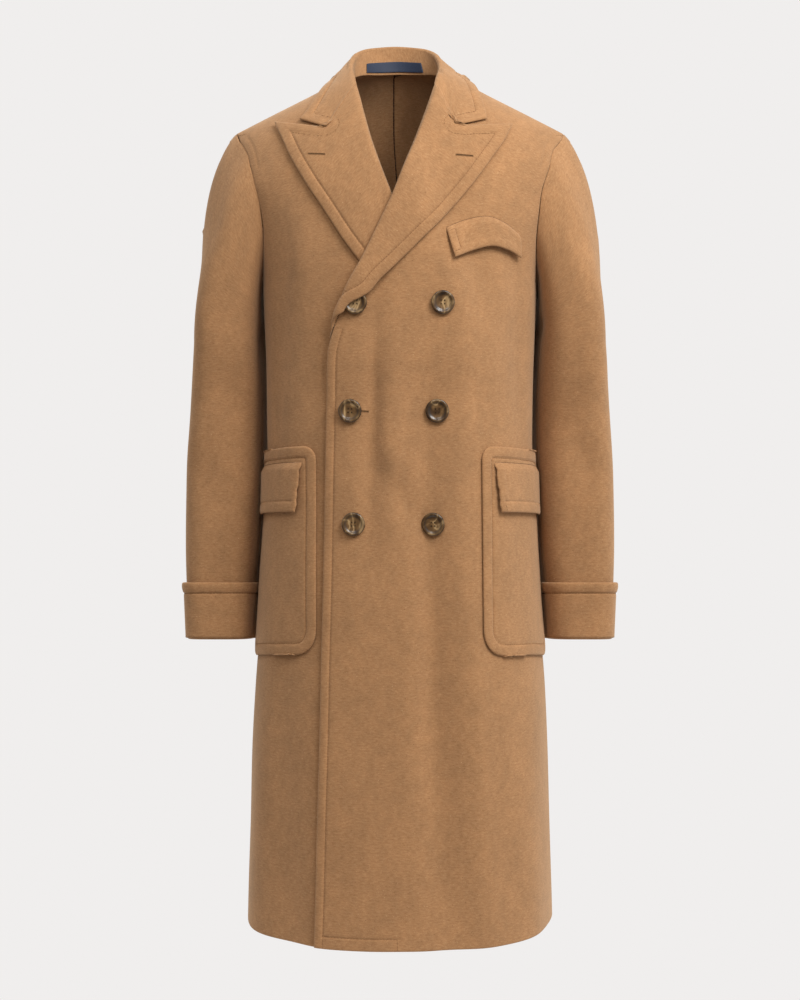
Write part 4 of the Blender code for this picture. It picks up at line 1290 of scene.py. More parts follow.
    def sew_front(self, cloth: Cloth, side: Side) -> Sewing:
        """Topstitching down a front's edge and round its hem facing."""
        sewing = Sewing()
        hem = cloth.distance(cloth.points[0])
        edge = np.where(hem > self.hem_stitch - self.stitch_slack, cloth.swelled, 1.0)
        edge = np.where(cloth.points[..., 2] < self.break_height - self.break_over, edge, 1.0)
        low = cloth.points[0, 0 if side is Side.LEFT else -1]
        sewing.line(*cloth.contour(edge, self.front_stitch, low))
        in_facing = (cloth.swelled < self.hem_stitch_reach) & (cloth.swelled > self.front_stitch)
        sewing.line(*cloth.contour(np.where(in_facing, hem, 1.0), self.hem_stitch, low))
        top = (side.value * 0.2, 0.0, self.shoulder_stitch_high)
        sewing.line(*cloth.contour(self.shoulder_gap(cloth, side), self.shoulder_stitch, top))
        return sewing

    def back(self, side: Side) -> Cloth:
        """One half of the back."""
        first, last = fine_steps(Edge.SEAM), fine_steps(Edge.GROOVE)
        edges = Edges(end=Edge.GROOVE, low=Edge.FOLDED)
        if side is Side.RIGHT:
            first, last = last, first
            edges = Edges(start=Edge.GROOVE, low=Edge.FOLDED)
        grid = lay_out(self.back_place(side), self.levels(), first, last, self.pitch)
        name = f"back_{side.word}"
        return Cloth(name, edges, grid, stitch=self.hem_stitch, swell=self.back_swell, sunk=0.0)

    def seam_line(self, cloth: Cloth) -> None:
        """Draws the painted shadow of the centre seam inside the back: a dark line where its fold lies in
        shade.
        """
        inward = -cloth.normals[:, -1]
        line = cloth.points[:, -1] + inward * self.inner_seam_depth
        self.room.dark_line("back_seam_line", line, inward, self.inner_seam)

    def build(self) -> None:
        """Makes the four panels."""
        for side in Side:
            cloth = self.front(side)
            self.room.cloth(cloth, Held.HUNG, ["collar_stand"], self.sew_front(cloth, side))
            back = self.back(side)
            self.room.cloth(back, Held.HUNG, ["collar_stand"])
            if side is Side.LEFT:
                worked = Buttonhole(self.buttonhole_length)
                worked.build("front_buttonhole", cloth, self.buttonhole, self.room)
                self.seam_line(back)


# Sleeves and turned-back cuffs


class SleeveSection(NamedTuple):
    """A level section of the wearer's left sleeve."""

    height: float
    inner: float
    outer: float
    front: float
    back: float


SLEEVE_SECTIONS = (
    SleeveSection(-0.7705, 0.2020, 0.2895, -0.040, 0.080),
    SleeveSection(-0.7000, 0.1965, 0.2920, -0.039, 0.088),
    SleeveSection(-0.6500, 0.1905, 0.2930, -0.040, 0.094),
    SleeveSection(-0.5500, 0.1845, 0.2910, -0.042, 0.101),
    SleeveSection(-0.4500, 0.1835, 0.2842, -0.048, 0.100),
    SleeveSection(-0.3600, 0.1860, 0.2776, -0.062, 0.088),
)
SLEEVE_CREASES = {
    Side.LEFT: (
        Crease(-25.0, 0.40, 0.055, 17.0, -0.0042, 160.0),
        Crease(20.0, 0.47, 0.050, 15.0, 0.0030, 190.0),
        Crease(5.0, 0.33, 0.050, 16.0, -0.0034, -140.0),
        Crease(70.0, 0.60, 0.090, 20.0, -0.0030, 60.0),
        Crease(30.0, 0.78, 0.070, 14.0, -0.0028, -60.0),
        Crease(140.0, 0.44, 0.060, 16.0, -0.0040, -120.0),
        Crease(190.0, 0.36, 0.060, 18.0, 0.0034, 90.0),
        Crease(110.0, 0.26, 0.070, 20.0, 0.0028, 40.0),
        Crease(-60.0, 0.62, 0.080, 20.0, -0.0040, 70.0),
    ),
    Side.RIGHT: (
        Crease(-18.0, 0.43, 0.060, 16.0, -0.0038, 140.0),
        Crease(28.0, 0.36, 0.050, 15.0, 0.0028, -150.0),
        Crease(12.0, 0.28, 0.060, 18.0, -0.0030, 110.0),
        Crease(82.0, 0.66, 0.100, 22.0, -0.0034, 45.0),
        Crease(42.0, 0.80, 0.060, 13.0, -0.0024, 70.0),
        Crease(150.0, 0.40, 0.070, 17.0, -0.0036, 100.0),
        Crease(200.0, 0.47, 0.050, 16.0, 0.0030, -80.0),
        Crease(100.0, 0.30, 0.060, 18.0, 0.0024, -60.0),
        Crease(-70.0, 0.56, 0.080, 20.0, -0.0036, -50.0),
    ),
}


@dataclass
class Sleeves:
    """Two-piece sleeves with turned-back cuffs."""

    form: CoatForm
    room: Workroom
    squareness: float = 2.5
    front_squareness: float = 3.3
    slant: float = -0.22
    front_slant: float = -0.10
    tilt: float = 0.11
    cap_share: float = 0.46
    front_seam: float = -58.0
    hind_seam: float = 152.0
    cuff_top: float = -0.6930
    cuff_band: float = 0.0150
    cuff_lift: float = 0.0042
    cuff_flare: float = 0.0016
    cuff_tuck: float = 0.002
    cuff_columns: int = 121
    crease_low: float = 0.11
    crease_high: float = 0.97
    cap_rise: tuple[float, float, float] = (0.0, -0.12, 1.0)
    cap_rise_reach: float = 0.36
    cap_leave: tuple[float, float, float] = (0.30, -0.16, -0.95)
    cap_leave_above: tuple[float, float] = (0.30, 0.35)
    cap_leave_reach: float = 0.24
    pitch: float = 0.0050
    length: float = 0.71

    def armhole_point(self, angle: Array) -> Array:
        """The armhole seam's point that runs into the sleeve at an angle round the arm."""
        form = self.form
        levels = np.linspace(1.0, 0.0, 160)
        front = form.point(form.armhole_angle(levels, "front"), levels)
        back = form.point(form.armhole_angle(levels[::-1], "back"), levels[::-1])
        turn = ((math.pi / 2 - angle) / (2 * math.pi)) % 1.0
        ahead = self.along_line(front, np.clip(turn * 2, 0, 1))
        behind = self.along_line(back, np.clip(turn * 2 - 1, 0, 1))
        return np.where((turn <= 0.5)[:, None], ahead, behind)

    @staticmethod
    def along_line(points: Array, share: Array) -> Array:
        """Points at shares of a line's length."""
        run = run_along(points)
        return read_line(points, run / run[-1], share)

    def ring(self, angle: Array, height: Array, lift: Array | float = 0.0) -> Array:
        """Points round the left sleeve below the armpit."""
        inner, outer, front, back = (
            column(SLEEVE_SECTIONS, height, "height", name) for name in SleeveSection._fields[1:]
        )
        half_y = (back - front) / 2
        ahead = np.cos(angle) > 0
        power = np.where(ahead, self.front_squareness, self.squareness)
        slant = np.where(ahead, self.front_slant, self.slant)
        half_x = np.sqrt(((outer - inner) / 2) ** 2 - (self.front_slant * half_y) ** 2)
        across = np.abs(np.sin(angle)) / (half_x + lift)
        along = np.abs(np.cos(angle)) / (half_y + lift)
        radius = (across**power + along**power) ** (-1 / power)
        behind = -radius * np.cos(angle)
        x = (inner + outer) / 2 + radius * np.sin(angle) + slant * behind
        armpit = SLEEVE_SECTIONS[-1].height
        hang = self.tilt * ease((armpit - height) / (armpit - self.cuff_top))
        return stack(x, (front + back) / 2 + behind, height - hang * behind)

    def point(self, angle: Array, share: Array) -> Array:
        """Points of the left sleeve, from the cuff's end (share 0) up to the armhole seam (1)."""
        low, high = SLEEVE_SECTIONS[0].height, SLEEVE_SECTIONS[-1].height
        tube = 1 - self.cap_share
        ring = self.ring(angle, mix(low, high, np.clip(share / tube, 0, 1)))
        t = np.clip((share - tube) / self.cap_share, 0, 1)[:, None]
        start, end = self.ring(angle, np.full_like(share, high)), self.armhole_point(angle)
        up = ((1 + np.sin(angle)) / 2)[:, None]
        out, ahead, down = self.cap_leave
        out_above, down_above = self.cap_leave_above
        leave = [out + out_above * up, ahead * np.cos(angle)[:, None], down + down_above * up]
        leave = unit(np.concatenate(leave, 1))
        reach = np.linalg.norm(end - start, axis=1)[:, None]
        first = start + np.array(self.cap_rise) * reach * self.cap_rise_reach
        cap = bezier(start, first, end + leave * reach * self.cap_leave_reach, end, t)
        return np.where(t > 0, cap, ring)

    def crease(self, side: Side, angle: Array, share: Array) -> Array:
        """How far the sleeve's creases push its cloth out."""
        out = sum(row.push(angle, share) for row in SLEEVE_CREASES[side])
        return out * ease((share - self.crease_low) / 0.05) * ease((self.crease_high - share) / 0.08)

    def place(self, side: Side, start: float, end: float) -> Place:
        """A sleeve piece between two seams, as on the left arm."""
        start, end = math.radians(start), math.radians(end)
        small = 1e-3

        def creased(across: Array, share: Array) -> Array:
            """The piece's points, with its creases pushed out."""
            angle = mix(start, end, across)
            inside = np.clip(share, 2 * small, 1 - 2 * small)
            points = self.point(angle, share)
            around = self.point(angle + small, inside) - self.point(angle - small, inside)
            along = self.point(angle, inside + small) - self.point(angle, inside - small)
            out = unit(np.cross(around, along))
            return points + out * self.crease(side, angle, share)[:, None]

        return creased if side is Side.LEFT else mirrored(creased)

    def cuff_place(self, across: Array, along: Array) -> Array:
        """The left cuff, from inside the sleeve's end round its fold and up to its top.

        Args:
            across: Shares round the arm.
            along: Heights above the sleeve's end; below 0 they are turns of the fold.

        Returns:
            Points of the cuff's outer face.
        """
        low = SLEEVE_SECTIONS[0].height
        angle = math.radians(self.front_seam) + across * 2 * math.pi
        turn = np.clip(-along, 0, 1) * math.pi
        wall = self.form.wall
        middle = (self.cuff_lift - wall) / 2
        radius = middle + wall / 2
        rise = np.clip(along, 0, None)
        top = self.cuff_top - low
        flare = self.cuff_flare * ease((rise - top + self.cuff_band + 0.004) / self.cuff_band)
        lift = np.where(along < 0, middle - wall / 2 + radius * np.cos(turn), self.cuff_lift + flare)
        risen = np.where(along < 0, -radius * np.sin(turn), rise - self.cuff_tuck * rise / top)
        height = low + self.cuff_tuck + risen
        points = self.ring(angle, low + rise, lift)
        points[:, 2] += height - (low + rise)
        return points

    def cuff(self, side: Side) -> Cloth:
        """One cuff with its swelled band along the top."""
        top = self.cuff_top - SLEEVE_SECTIONS[0].height
        fold = -np.linspace(1.0, 0.0, 9)[:-1]
        rows = spaced(top, 0.0035, np.zeros(1), fine_steps(Edge.FOLDED, self.cuff_band)) * top
        place = self.cuff_place if side is Side.LEFT else mirrored(self.cuff_place)
        around = np.linspace(0, 1, self.cuff_columns)
        along = np.concatenate([fold, rows])
        points = place(np.tile(around, len(along)), np.repeat(along, len(around)))
        grid = points.reshape(len(along), len(around), 3)
        grid[:, -1] = grid[:, 0]
        edges = Edges(Edge.JOINED, Edge.JOINED, Edge.SEAM, Edge.FOLDED)
        return Cloth(f"cuff_{side.word}", edges, grid, stitch=self.cuff_band, closed=True)

    def build(self) -> None:
        """Makes both sleeves and cuffs."""
        seam = fine_steps(Edge.SEAM)
        share = spaced(self.length, self.pitch, seam, np.array((0.0, 0.0003, 0.0010, 0.0025, 0.005)))
        share = share[3:]
        pieces = (
            ("top", self.front_seam, self.hind_seam),
            ("under", self.hind_seam, self.front_seam + 360.0),
        )
        for side in Side:
            for name, start, end in pieces:
                grid = lay_out(self.place(side, start, end), share, seam, seam, self.pitch)
                cloth = Cloth(f"sleeve_{name}_{side.word}", Edges(), grid)
                self.room.cloth(cloth, Held.HUNG, [f"front_{side.word}"])
            cloth = self.cuff(side)
            sewing = Sewing.beside(cloth, cloth.points[-1, 0])
            self.room.cloth(cloth, Held.FOLDED, [f"sleeve_top_{side.word}"], sewing)


# Lapels


class LapelEdge(NamedTuple):
    """Where the lapels' free edges lie as seen from the front, from the break up to the gorge."""

    share: float
    left_x: float
    left_height: float
    right_x: float
    right_height: float


LAPEL_EDGE = (
    LapelEdge(0.07, -0.0672, -0.3185, 0.0490, -0.3185),
    LapelEdge(0.13, -0.0530, -0.3035, 0.0280, -0.3250),
    LapelEdge(0.22, -0.0330, -0.2860, -0.0020, -0.3050),
    LapelEdge(0.38, 0.0070, -0.2460, -0.0360, -0.2720),
    LapelEdge(0.55, 0.0520, -0.2010, -0.0700, -0.2290),
    LapelEdge(0.75, 0.0957, -0.1500, -0.1090, -0.1700),
    LapelEdge(0.90, 0.1290, -0.1050, -0.1420, -0.1170),
    LapelEdge(1.00, 0.1490, -0.0715, -0.1668, -0.0672),
)
NOTCH = {Side.LEFT: (0.0712, -0.0757), Side.RIGHT: (-0.0942, -0.0775)}


def notch_bend(flat: Array, notch: float) -> Array:
    """1 at the notch, falling evenly to 0 at both ends of the row."""
    return np.minimum(flat / notch, (1 - flat) / (1 - notch))


@dataclass
class Lapels:
    """Peak lapels that roll from the break up to the gorge."""

    form: CoatForm
    room: Workroom
    fold_share: float = 0.4
    roll_soft: float = 0.0064
    roll_firm: float = 0.0042
    right_roll: float = 0.0037
    edge_lift: float = 0.0056
    lift_over_button: float = 0.0098
    whole_turn_share: float = 0.07
    curl_from: float = -0.05
    free_width: float = 0.0067
    break_height: float = -0.338
    notch_share: float = 0.42
    gorge_gap: float = 0.0002
    roll_end: float = 0.5
    roll_end_from: float = -0.03
    roll_end_reach: float = 0.10
    firm_from: float = 0.15
    firm_reach: float = 0.30
    button_from: float = 0.22
    button_reach: float = 0.18
    least_curl: float = 0.03
    frame_step: float = 0.004
    settle_reach: float = 0.08
    dip_from: float = 0.80
    belly: float = 0.0022
    stitch: float = 0.0150
    pitch: float = 0.0040
    length: float = 0.34
    buttonhole_length: float = 0.0225
    buttonhole: dict[Side, tuple[float, float]] = field(
        default_factory=lambda: {Side.LEFT: (0.0845, -0.1140), Side.RIGHT: (-0.1095, -0.1115)}
    )

    def roll(self, side: Side, share: Array) -> Array:
        """The radius of a lapel's roll, softest at its break."""
        if side is Side.RIGHT:
            return np.full_like(share, self.right_roll)
        ending = mix(self.roll_end, 1.0, ease((share - self.roll_end_from) / self.roll_end_reach))
        firm = ease((share - self.firm_from) / self.firm_reach)
        return ending * mix(self.roll_soft, self.roll_firm, firm)

    def row(self, side: Side, share: Array) -> tuple[Array, Array, Array, Array]:
        """The ends of a lapel's row: its roll's base and its free edge, as x and height."""
        height = mix(self.break_height, self.form.gorge_height - self.gorge_gap, share)
        edge_x = column(LAPEL_EDGE, share, "share", side.word + "_x")
        edge_height = column(LAPEL_EDGE, share, "share", side.word + "_height")
        return self.form.opening_x(side, height), height, edge_x, edge_height

    def roll_frame(self, side: Side, base_x: Array, base_height: Array) -> tuple[Array, Array, Array]:
        """A lapel's roll line: its base, and the ways out and towards the opening."""
        form = self.form
        lift = form.front_lift(side, base_x, base_height)
        base, out = form.lifted(base_x, base_height, lift)
        step = self.frame_step
        below = form.lifted(form.opening_x(side, base_height - step), base_height - step, lift)[0]
        above = form.lifted(form.opening_x(side, base_height + step), base_height + step, lift)[0]
        return base, out, unit(np.cross(out, above - below)) * side.value

    def laid(self, side: Side, flat: Array, share: Array) -> Array:
        """The stretch that lies over the front, from the roll to the free edge."""
        form = self.form
        notch_x, notch_height = NOTCH[side]
        base_x, base_height, edge_x, edge_height = self.row(side, share)
        x, height = mix(base_x, edge_x, flat), mix(base_height, edge_height, flat)
        dip = ease((share - self.dip_from) / (1 - self.dip_from)) * notch_bend(flat, self.notch_share)
        x = x + dip * (notch_x - mix(base_x, edge_x, self.notch_share))
        height = height + dip * (notch_height - mix(base_height, edge_height, self.notch_share))
        over = np.zeros_like(share)
        if side is Side.LEFT:
            over = 1 - ease((share - self.button_from) / self.button_reach)
        edge_lift = mix(self.edge_lift, self.lift_over_button, over)
        lift = mix(2 * self.roll(side, share) - form.wall, edge_lift, ease(flat))
        belly = self.belly * np.sin(math.pi * flat) * np.sin(math.pi * np.clip(share, 0, 1)) ** 2
        return form.lifted(x, height, form.front_lift(side, x, height) + lift + belly)[0]

    def place(self, side: Side) -> Place:
        """A lapel's outer face, from its roll's base round to its free edge."""

        def put(across: Array, share: Array) -> Array:
            """The lapel's points at shares across and along its roll."""
            across = across if side is Side.LEFT else 1 - across
            roll = self.roll(side, share)[:, None]
            base_x, base_height = self.row(side, share)[:2]
            base, out, inward = self.roll_frame(side, base_x, base_height)
            curled = (share - self.curl_from) / (self.whole_turn_share - self.curl_from)
            whole = math.pi * np.clip(curled, self.least_curl, 1)[:, None]
            turn = np.clip(across / self.fold_share, 0, 1)[:, None] * whole
            swing = inward * np.sin(turn) - out * np.cos(turn)
            rolled = base + out * (roll - self.form.wall) + roll * swing
            flat = np.clip((across - self.fold_share) / (1 - self.fold_share), 0, 1)
            ahead = inward * np.cos(whole) + out * np.sin(whole)
            free = rolled + ahead * (self.free_width * (whole / math.pi) ** 2 * flat[:, None])
            settled = ease((share - self.whole_turn_share) / self.settle_reach)[:, None]
            over = mix(free, self.laid(side, flat, share), settled)
            return np.where((across < self.fold_share)[:, None], rolled, over)

        return put

    def cloth(self, side: Side) -> Cloth:
        """One lapel with its swelled edge and peak."""
        fine = fine_steps(Edge.FOLDED, self.stitch)
        seam = fine_steps(Edge.SEAM)
        share = spaced(self.length, self.pitch, np.array((0.0, 0.0006, 0.0015, 0.003)), fine)
        share = mix(self.curl_from, 1.0, share)
        first, last = (seam, fine) if side is Side.LEFT else (fine, seam)
        grid = lay_out(self.place(side), share, first, last, self.pitch)
        edges = Edges(start=Edge.JOINED, end=Edge.JOINED, low=Edge.SEAM, high=Edge.JOINED)
        cloth = Cloth(f"lapel_{side.word}", edges, grid, stitch=self.stitch)
        outer = cloth.points[:, -1 if side is Side.LEFT else 0]
        top = cloth.points[-1]
        notch = np.argmin(np.hypot(top[:, 0] - NOTCH[side][0], top[:, 2] - NOTCH[side][1]))
        peak = top[notch:] if side is Side.LEFT else top[: notch + 1]
        gorge = top[: notch + 1] if side is Side.LEFT else top[notch:]
        self.finish_edges(cloth, [outer, peak], [gorge])
        return cloth

    @staticmethod
    def finish_edges(cloth: Cloth, free: Sequence[Array], sewn: Sequence[Array]) -> None:
        """Rounds and swells a piece's free edges, and rounds its sewn ones a little.

        Args:
            cloth: The piece.
            free: Lines of its free, topstitched edges.
            sewn: Lines of its seams.
        """
        gap = np.min([cloth.distance(line) for line in free], axis=0)
        for lines, edge in ((free, Edge.FOLDED), (sewn, Edge.SEAM)):
            for line in lines:
                cloth.thickness *= edge.rounded(cloth.distance(line))
        cloth.press(gap, cloth.stitch)
        cloth.thickness *= 1 + cloth.swell * band(gap, cloth.stitch)
        cloth.swelled = gap

    def build(self) -> None:
        """Makes both lapels, their topstitching and their worked buttonholes."""
        for side in Side:
            cloth = self.cloth(side)
            sewing = Sewing.beside(cloth, cloth.points[0, -1 if side is Side.LEFT else 0])
            self.room.cloth(cloth, Held.FOLDED, [f"front_{side.word}"], sewing)
            worked = Buttonhole(self.buttonhole_length)
            worked.build(f"lapel_buttonhole_{side.word}", cloth, self.buttonhole[side], self.room)


@dataclass
class Buttonhole:
    """A worked buttonhole: two rows of close stitches, with a painted shadow bar along the slit between
    them.
    """

    length: float
    width: float = 0.0030
    step: float = 0.00085
    slope: float = -0.06
    lip: float = 0.00035
    sink: float = 0.00005
    bar_gap: float = 0.0002
    bar_reach: float = 0.0013
    work: Stitch = Stitch(radius=0.00036)
    # Painted shadow bar along the slit.
    slit: Stitch = Stitch(radius=0.00040)

    def surface(self, cloth: Cloth, x: Array, height: Array) -> tuple[Array, Array]:
        """The cloth's face nearest to points seen from the front."""
        face = cloth.points + cloth.normals * (cloth.wall * cloth.thickness / 2)[..., None]
        ahead = cloth.normals[..., 1] < -0.2
        seen, out = face[ahead], cloth.normals[ahead]
        away = (seen[None, :, 0] - x[:, None]) ** 2 + (seen[None, :, 2] - height[:, None]) ** 2
        near = np.argsort(away, axis=1)[:, :4]
        share = 1 / (np.take_along_axis(away, near, 1) + 1e-9)
        share = share / share.sum(1, keepdims=True)
        point = (seen[near] * share[..., None]).sum(1)
        up = unit((out[near] * share[..., None]).sum(1))
        point[:, 1] += ((point[:, 0] - x) * up[:, 0] + (point[:, 2] - height) * up[:, 2]) / up[:, 1]
        point[:, 0], point[:, 2] = x, height
        return point, up

    def build(self, name: str, cloth: Cloth, centre: tuple[float, float], room: Workroom) -> None:
        """Works the buttonhole into a piece's face.

        Args:
            name: The stitches' name.
            cloth: The piece that it is in.
            centre: Its middle, as x and height.
            room: Where the pieces are fitted.
        """
        along = np.arange(-self.length / 2, self.length / 2, self.step)
        tilt = self.slope * along
        work = Sewing(self.work)
        for edge in (-1, 1):
            inner, up = self.surface(cloth, centre[0] + along, centre[1] + tilt + edge * self.lip)
            outer, _ = self.surface(cloth, centre[0] + along, centre[1] + tilt + edge * self.width / 2)
            work.bar(inner + up * self.lip, outer - up * self.sink, up)
        for end in (-1, 1):
            x = centre[0] + end * (self.length / 2 + self.bar_gap)
            height = centre[1] + end * self.slope * self.length / 2
            reach = np.array((-self.bar_reach, self.bar_reach))
            ends, up = self.surface(cloth, np.array((x, x)), height + reach)
            ends = ends + up * self.bar_gap
            work.bar(ends[:1], ends[1:], up[:1])
        room.fit(work.build(name, room.finishes.thread), Slot.CLOTH)
        # Painted shadow: a near-black bar along the slit, where the cut is only in shade.
        slit = Sewing(self.slit)
        line, up = self.surface(cloth, centre[0] + along, centre[1] + tilt)
        line = line + up * self.sink
        slit.bar(line[:-1], line[1:], up[:-1])
        room.fit(slit.build(name + "_slit", room.finishes.slit), Slot.CLOTH)


# Collar and label


class CollarFold(NamedTuple):
    """The collar's fold, as the top of the stand's inner face."""

    share: float
    x: float
    y: float
    height: float


class CollarEdge(NamedTuple):
    """The collar's free edge behind its corners."""

    share: float
    x: float
    height: float
    face: int


COLLAR_FOLD = (
    CollarFold(0.000, 0.0000, 0.0590, 0.0420),
    CollarFold(0.195, 0.0330, 0.0500, 0.0385),
    CollarFold(0.375, 0.0520, 0.0270, 0.0280),
    CollarFold(0.560, 0.0570, 0.0000, 0.0120),
)
COLLAR_EDGE = (
    CollarEdge(0.00, 0.0000, -0.0120, 1),
    CollarEdge(0.20, 0.0430, -0.0095, 1),
    CollarEdge(0.38, 0.0780, -0.0090, 1),
    CollarEdge(0.50, 0.0945, -0.0125, -1),
    CollarEdge(0.68, 0.1040, -0.0260, -1),
    CollarEdge(1.00, 0.1180, -0.0600, -1),
)
CORNER = {Side.LEFT: (0.1138, -0.0650), Side.RIGHT: (-0.1320, -0.0650)}


@dataclass
class Collar:
    """The collar's fall and stand, and the label on the stand."""

    form: CoatForm
    room: Workroom
    lapels: Lapels
    roll: float = 0.0040
    edge_lift: float = 0.0052
    clearance: float = 0.0062
    neck_shift: float = -0.006
    neck_point_share: float = 0.47
    half_length: float = 0.174
    notch_share: float = 0.56
    lay_from: float = 0.50
    fold_share: float = 0.4
    stand_wall: float = 0.002
    notch_gap: float = 0.0010
    stand_reach: float = 0.86
    stitch: float = 0.0150
    pitch: float = 0.0040
    label_centre_x: float = -0.0120
    label_width: float = 0.076
    label_low: float = 0.10
    label_high: float = 0.50
    label_gap: float = 0.0009
    label_wall: float = 0.0008
    label_stitch: Stitch = Stitch(0.0016, 0.0022, 0.00022)
    label_stitch_lift: float = 0.0005
    label_columns: int = 46
    label_pitch: float = 0.0012
    stand_columns: int = 90
    stand_pitch: float = 0.0035
    fall_out: float = 0.85
    fall_down: float = 0.45
    fall_reach: float = 0.34
    lying_rise: float = 1.1
    lying_drop: float = 1.25
    lying_reach: float = 0.22
    neck_centre_y: float = 0.005
    shift_share: float = 0.6
    shift_reach: float = 0.3
    seam_inside: float = 0.0035
    seam_drop: float = 0.0035
    turn_reach: float = 0.13

    def gorge_frame(self, side: Side) -> tuple[Array, Array, Array]:
        """Start of the collar's roll at the gorge: inner face, outward and towards the opening."""
        height = np.array([self.form.gorge_height])
        base, out, inward = self.lapels.roll_frame(side, self.form.opening_x(side, height), height)
        return base[0] - out[0] * self.form.wall, out[0], inward[0]

    def frame(self, share: Array) -> tuple[Array, Array, Array]:
        """Along the collar from the right gorge (-1) to the left (1): fold, outward and up."""
        ends = {side.value: self.gorge_frame(side) for side in Side}
        rows = []
        for sign in (-1, 1):
            for row in COLLAR_FOLD:
                if sign > 0 or row.share > 0:
                    place = np.array((sign * row.x + self.neck_shift, row.y, row.height))
                    rows.append((sign * row.share, place))
            rows.append((float(sign), ends[sign][0]))
        rows.sort(key=lambda row: row[0])
        at = [row[0] for row in rows]
        fold = np.stack([smooth(at, [row[1][k] for row in rows], share) for k in range(3)], -1)
        away = unit(stack(fold[:, 0] - self.neck_shift, fold[:, 1] - self.neck_centre_y, 0.0 * share))
        lay = ease((np.abs(share) - self.lay_from) / (1 - self.lay_from))[:, None]
        left = (share > 0)[:, None]
        out = unit(mix(away, np.where(left, ends[1][1], ends[-1][1]), lay))
        up = mix(np.array((0.0, 0.0, 1.0)), np.where(left, ends[1][2], ends[-1][2]), lay)
        return fold, out, unit(up - out * (up * out).sum(1)[:, None])

    def edge(self, share: Array) -> Array:
        """The collar's free edge, lying over the shoulders and back."""
        size = np.abs(share)
        x = column(COLLAR_EDGE, size, "share", "x") * np.sign(share)
        height = np.minimum(column(COLLAR_EDGE, size, "share", "height"), self.form.shoulder_height(x))
        turn = min(row.share for row in COLLAR_EDGE if row.face < 0)
        front = self.form.lifted(x, height, self.edge_lift)[0]
        back = self.form.lifted(x, height, self.edge_lift, face=1)[0]
        return mix(back, front, ease((size - (turn - self.turn_reach)) / self.turn_reach)[:, None])

    def front_row(self, side: Side, flat: Array) -> Array:
        """The collar's end as it lies on the front, from the roll past the notch to the corner."""
        form, share = self.form, self.notch_share
        notch, corner = NOTCH[side], CORNER[side]
        base_x = form.opening_x(side, form.gorge_height)
        bend = notch_bend(flat, share)
        x = mix(base_x, corner[0], flat) + bend * (notch[0] - mix(base_x, corner[0], share))
        drop = notch[1] + self.notch_gap - mix(form.gorge_height, corner[1], share)
        height = mix(form.gorge_height, corner[1], flat) + bend * drop + self.lapels.gorge_gap
        lift = mix(2 * self.lapels.roll_firm - form.wall, self.edge_lift, ease(flat))
        return form.lifted(x, height, form.front_lift(side, x, height) + lift)[0]

    def fall_place(self, across: Array, share: Array) -> Array:
        """The collar's fall: its roll first, then down to the free edge."""
        share = share * 2 - 1
        across = 1 - across
        fold, out, up = self.frame(share)
        turn = np.clip(across / self.fold_share, 0, 1) * math.pi
        swing = up * np.sin(turn)[:, None] - out * np.cos(turn)[:, None]
        rolled = fold + out * self.roll + self.roll * swing
        flat = np.clip((across - self.fold_share) / (1 - self.fold_share), 0, 1)
        start, end = fold + out * 2 * self.roll, self.edge(share)
        reach = np.linalg.norm(end - start, axis=1)[:, None]
        first = start + (out * self.fall_out - up * self.fall_down) * reach * self.fall_reach
        lying = unit(end - start + up * reach * self.lying_rise)
        second = end - (lying - up * self.lying_drop) * reach * self.lying_reach
        t = flat[:, None]
        fall = bezier(start, first, second, end, t)
        for side in Side:
            laid = self.front_row(side, flat)
            laid = laid + (start - self.front_row(side, 0.0 * flat)) * (1 - t)
            lay = ease((side.value * share - self.lay_from) / (1 - self.lay_from))[:, None]
            fall = mix(fall, laid, lay)
        clear = self.form.top(fall[:, 0], fall[:, 1]) + self.clearance
        fall[:, 2] += np.maximum(clear - fall[:, 2], 0.0)
        return np.where((across < self.fold_share)[:, None], rolled, fall)

    def neck_seam(self, share: Array) -> Array:
        """The line where the stand is sewn to the body, just inside the panels' edge."""
        form = self.form
        size = np.abs(share)
        behind = np.clip(size / self.neck_point_share, 0, 1)
        x_back = form.neck_point_x * np.sin(behind * math.pi / 2)
        level = mix(form.back_neck_level(), 1.0, (x_back / form.neck_point_x) ** 2)
        back = form.point(form.angle_at(x_back * np.sign(share), level, face=1), level)
        ahead = np.clip((size - self.neck_point_share) / (1 - self.neck_point_share), 0, 1)
        front = np.zeros_like(back)
        for side in Side:
            gorge_x = form.opening_x(side, form.gorge_height)
            gorge_level = form.level_at(gorge_x, np.array(form.gorge_height))
            level = mix(1.0, gorge_level, ahead)
            x = mix(gorge_x, side.value * form.neck_point_x, (1 - ahead) ** form.neck_curve)
            points = form.point(form.angle_at(x, level), level)
            front = np.where((np.sign(share) == side.value)[:, None], points, front)
        line = np.where((size > self.neck_point_share)[:, None], front, back)
        away = unit(stack(line[:, 0] - self.neck_shift, line[:, 1] - self.neck_centre_y, 0.0 * share))
        inside = self.seam_inside - self.neck_shift * self.shift_share * ease(share / self.shift_reach)
        return line - away * inside[:, None] - np.array((0.0, 0.0, self.seam_drop))

    def stand_place(self, across: Array, share: Array) -> Array:
        """The stand's inner face, from the fold down to the neck seam."""
        share = share * 2 - 1
        fold = self.frame(share)[0]
        return mix(fold, self.neck_seam(share), across[:, None])

    def label_place(self, across: Array, share: Array) -> Array:
        """The plain woven label on the stand's inner face."""
        along = self.label_centre_x - self.neck_shift + (share - 0.5) * self.label_width
        share = 0.5 + 0.5 * along / self.half_length
        points = self.stand_place(1 - mix(self.label_low, self.label_high, 1 - across), share)
        out = self.frame(2 * share - 1)[1]
        return points - out * (self.label_gap + self.label_wall)

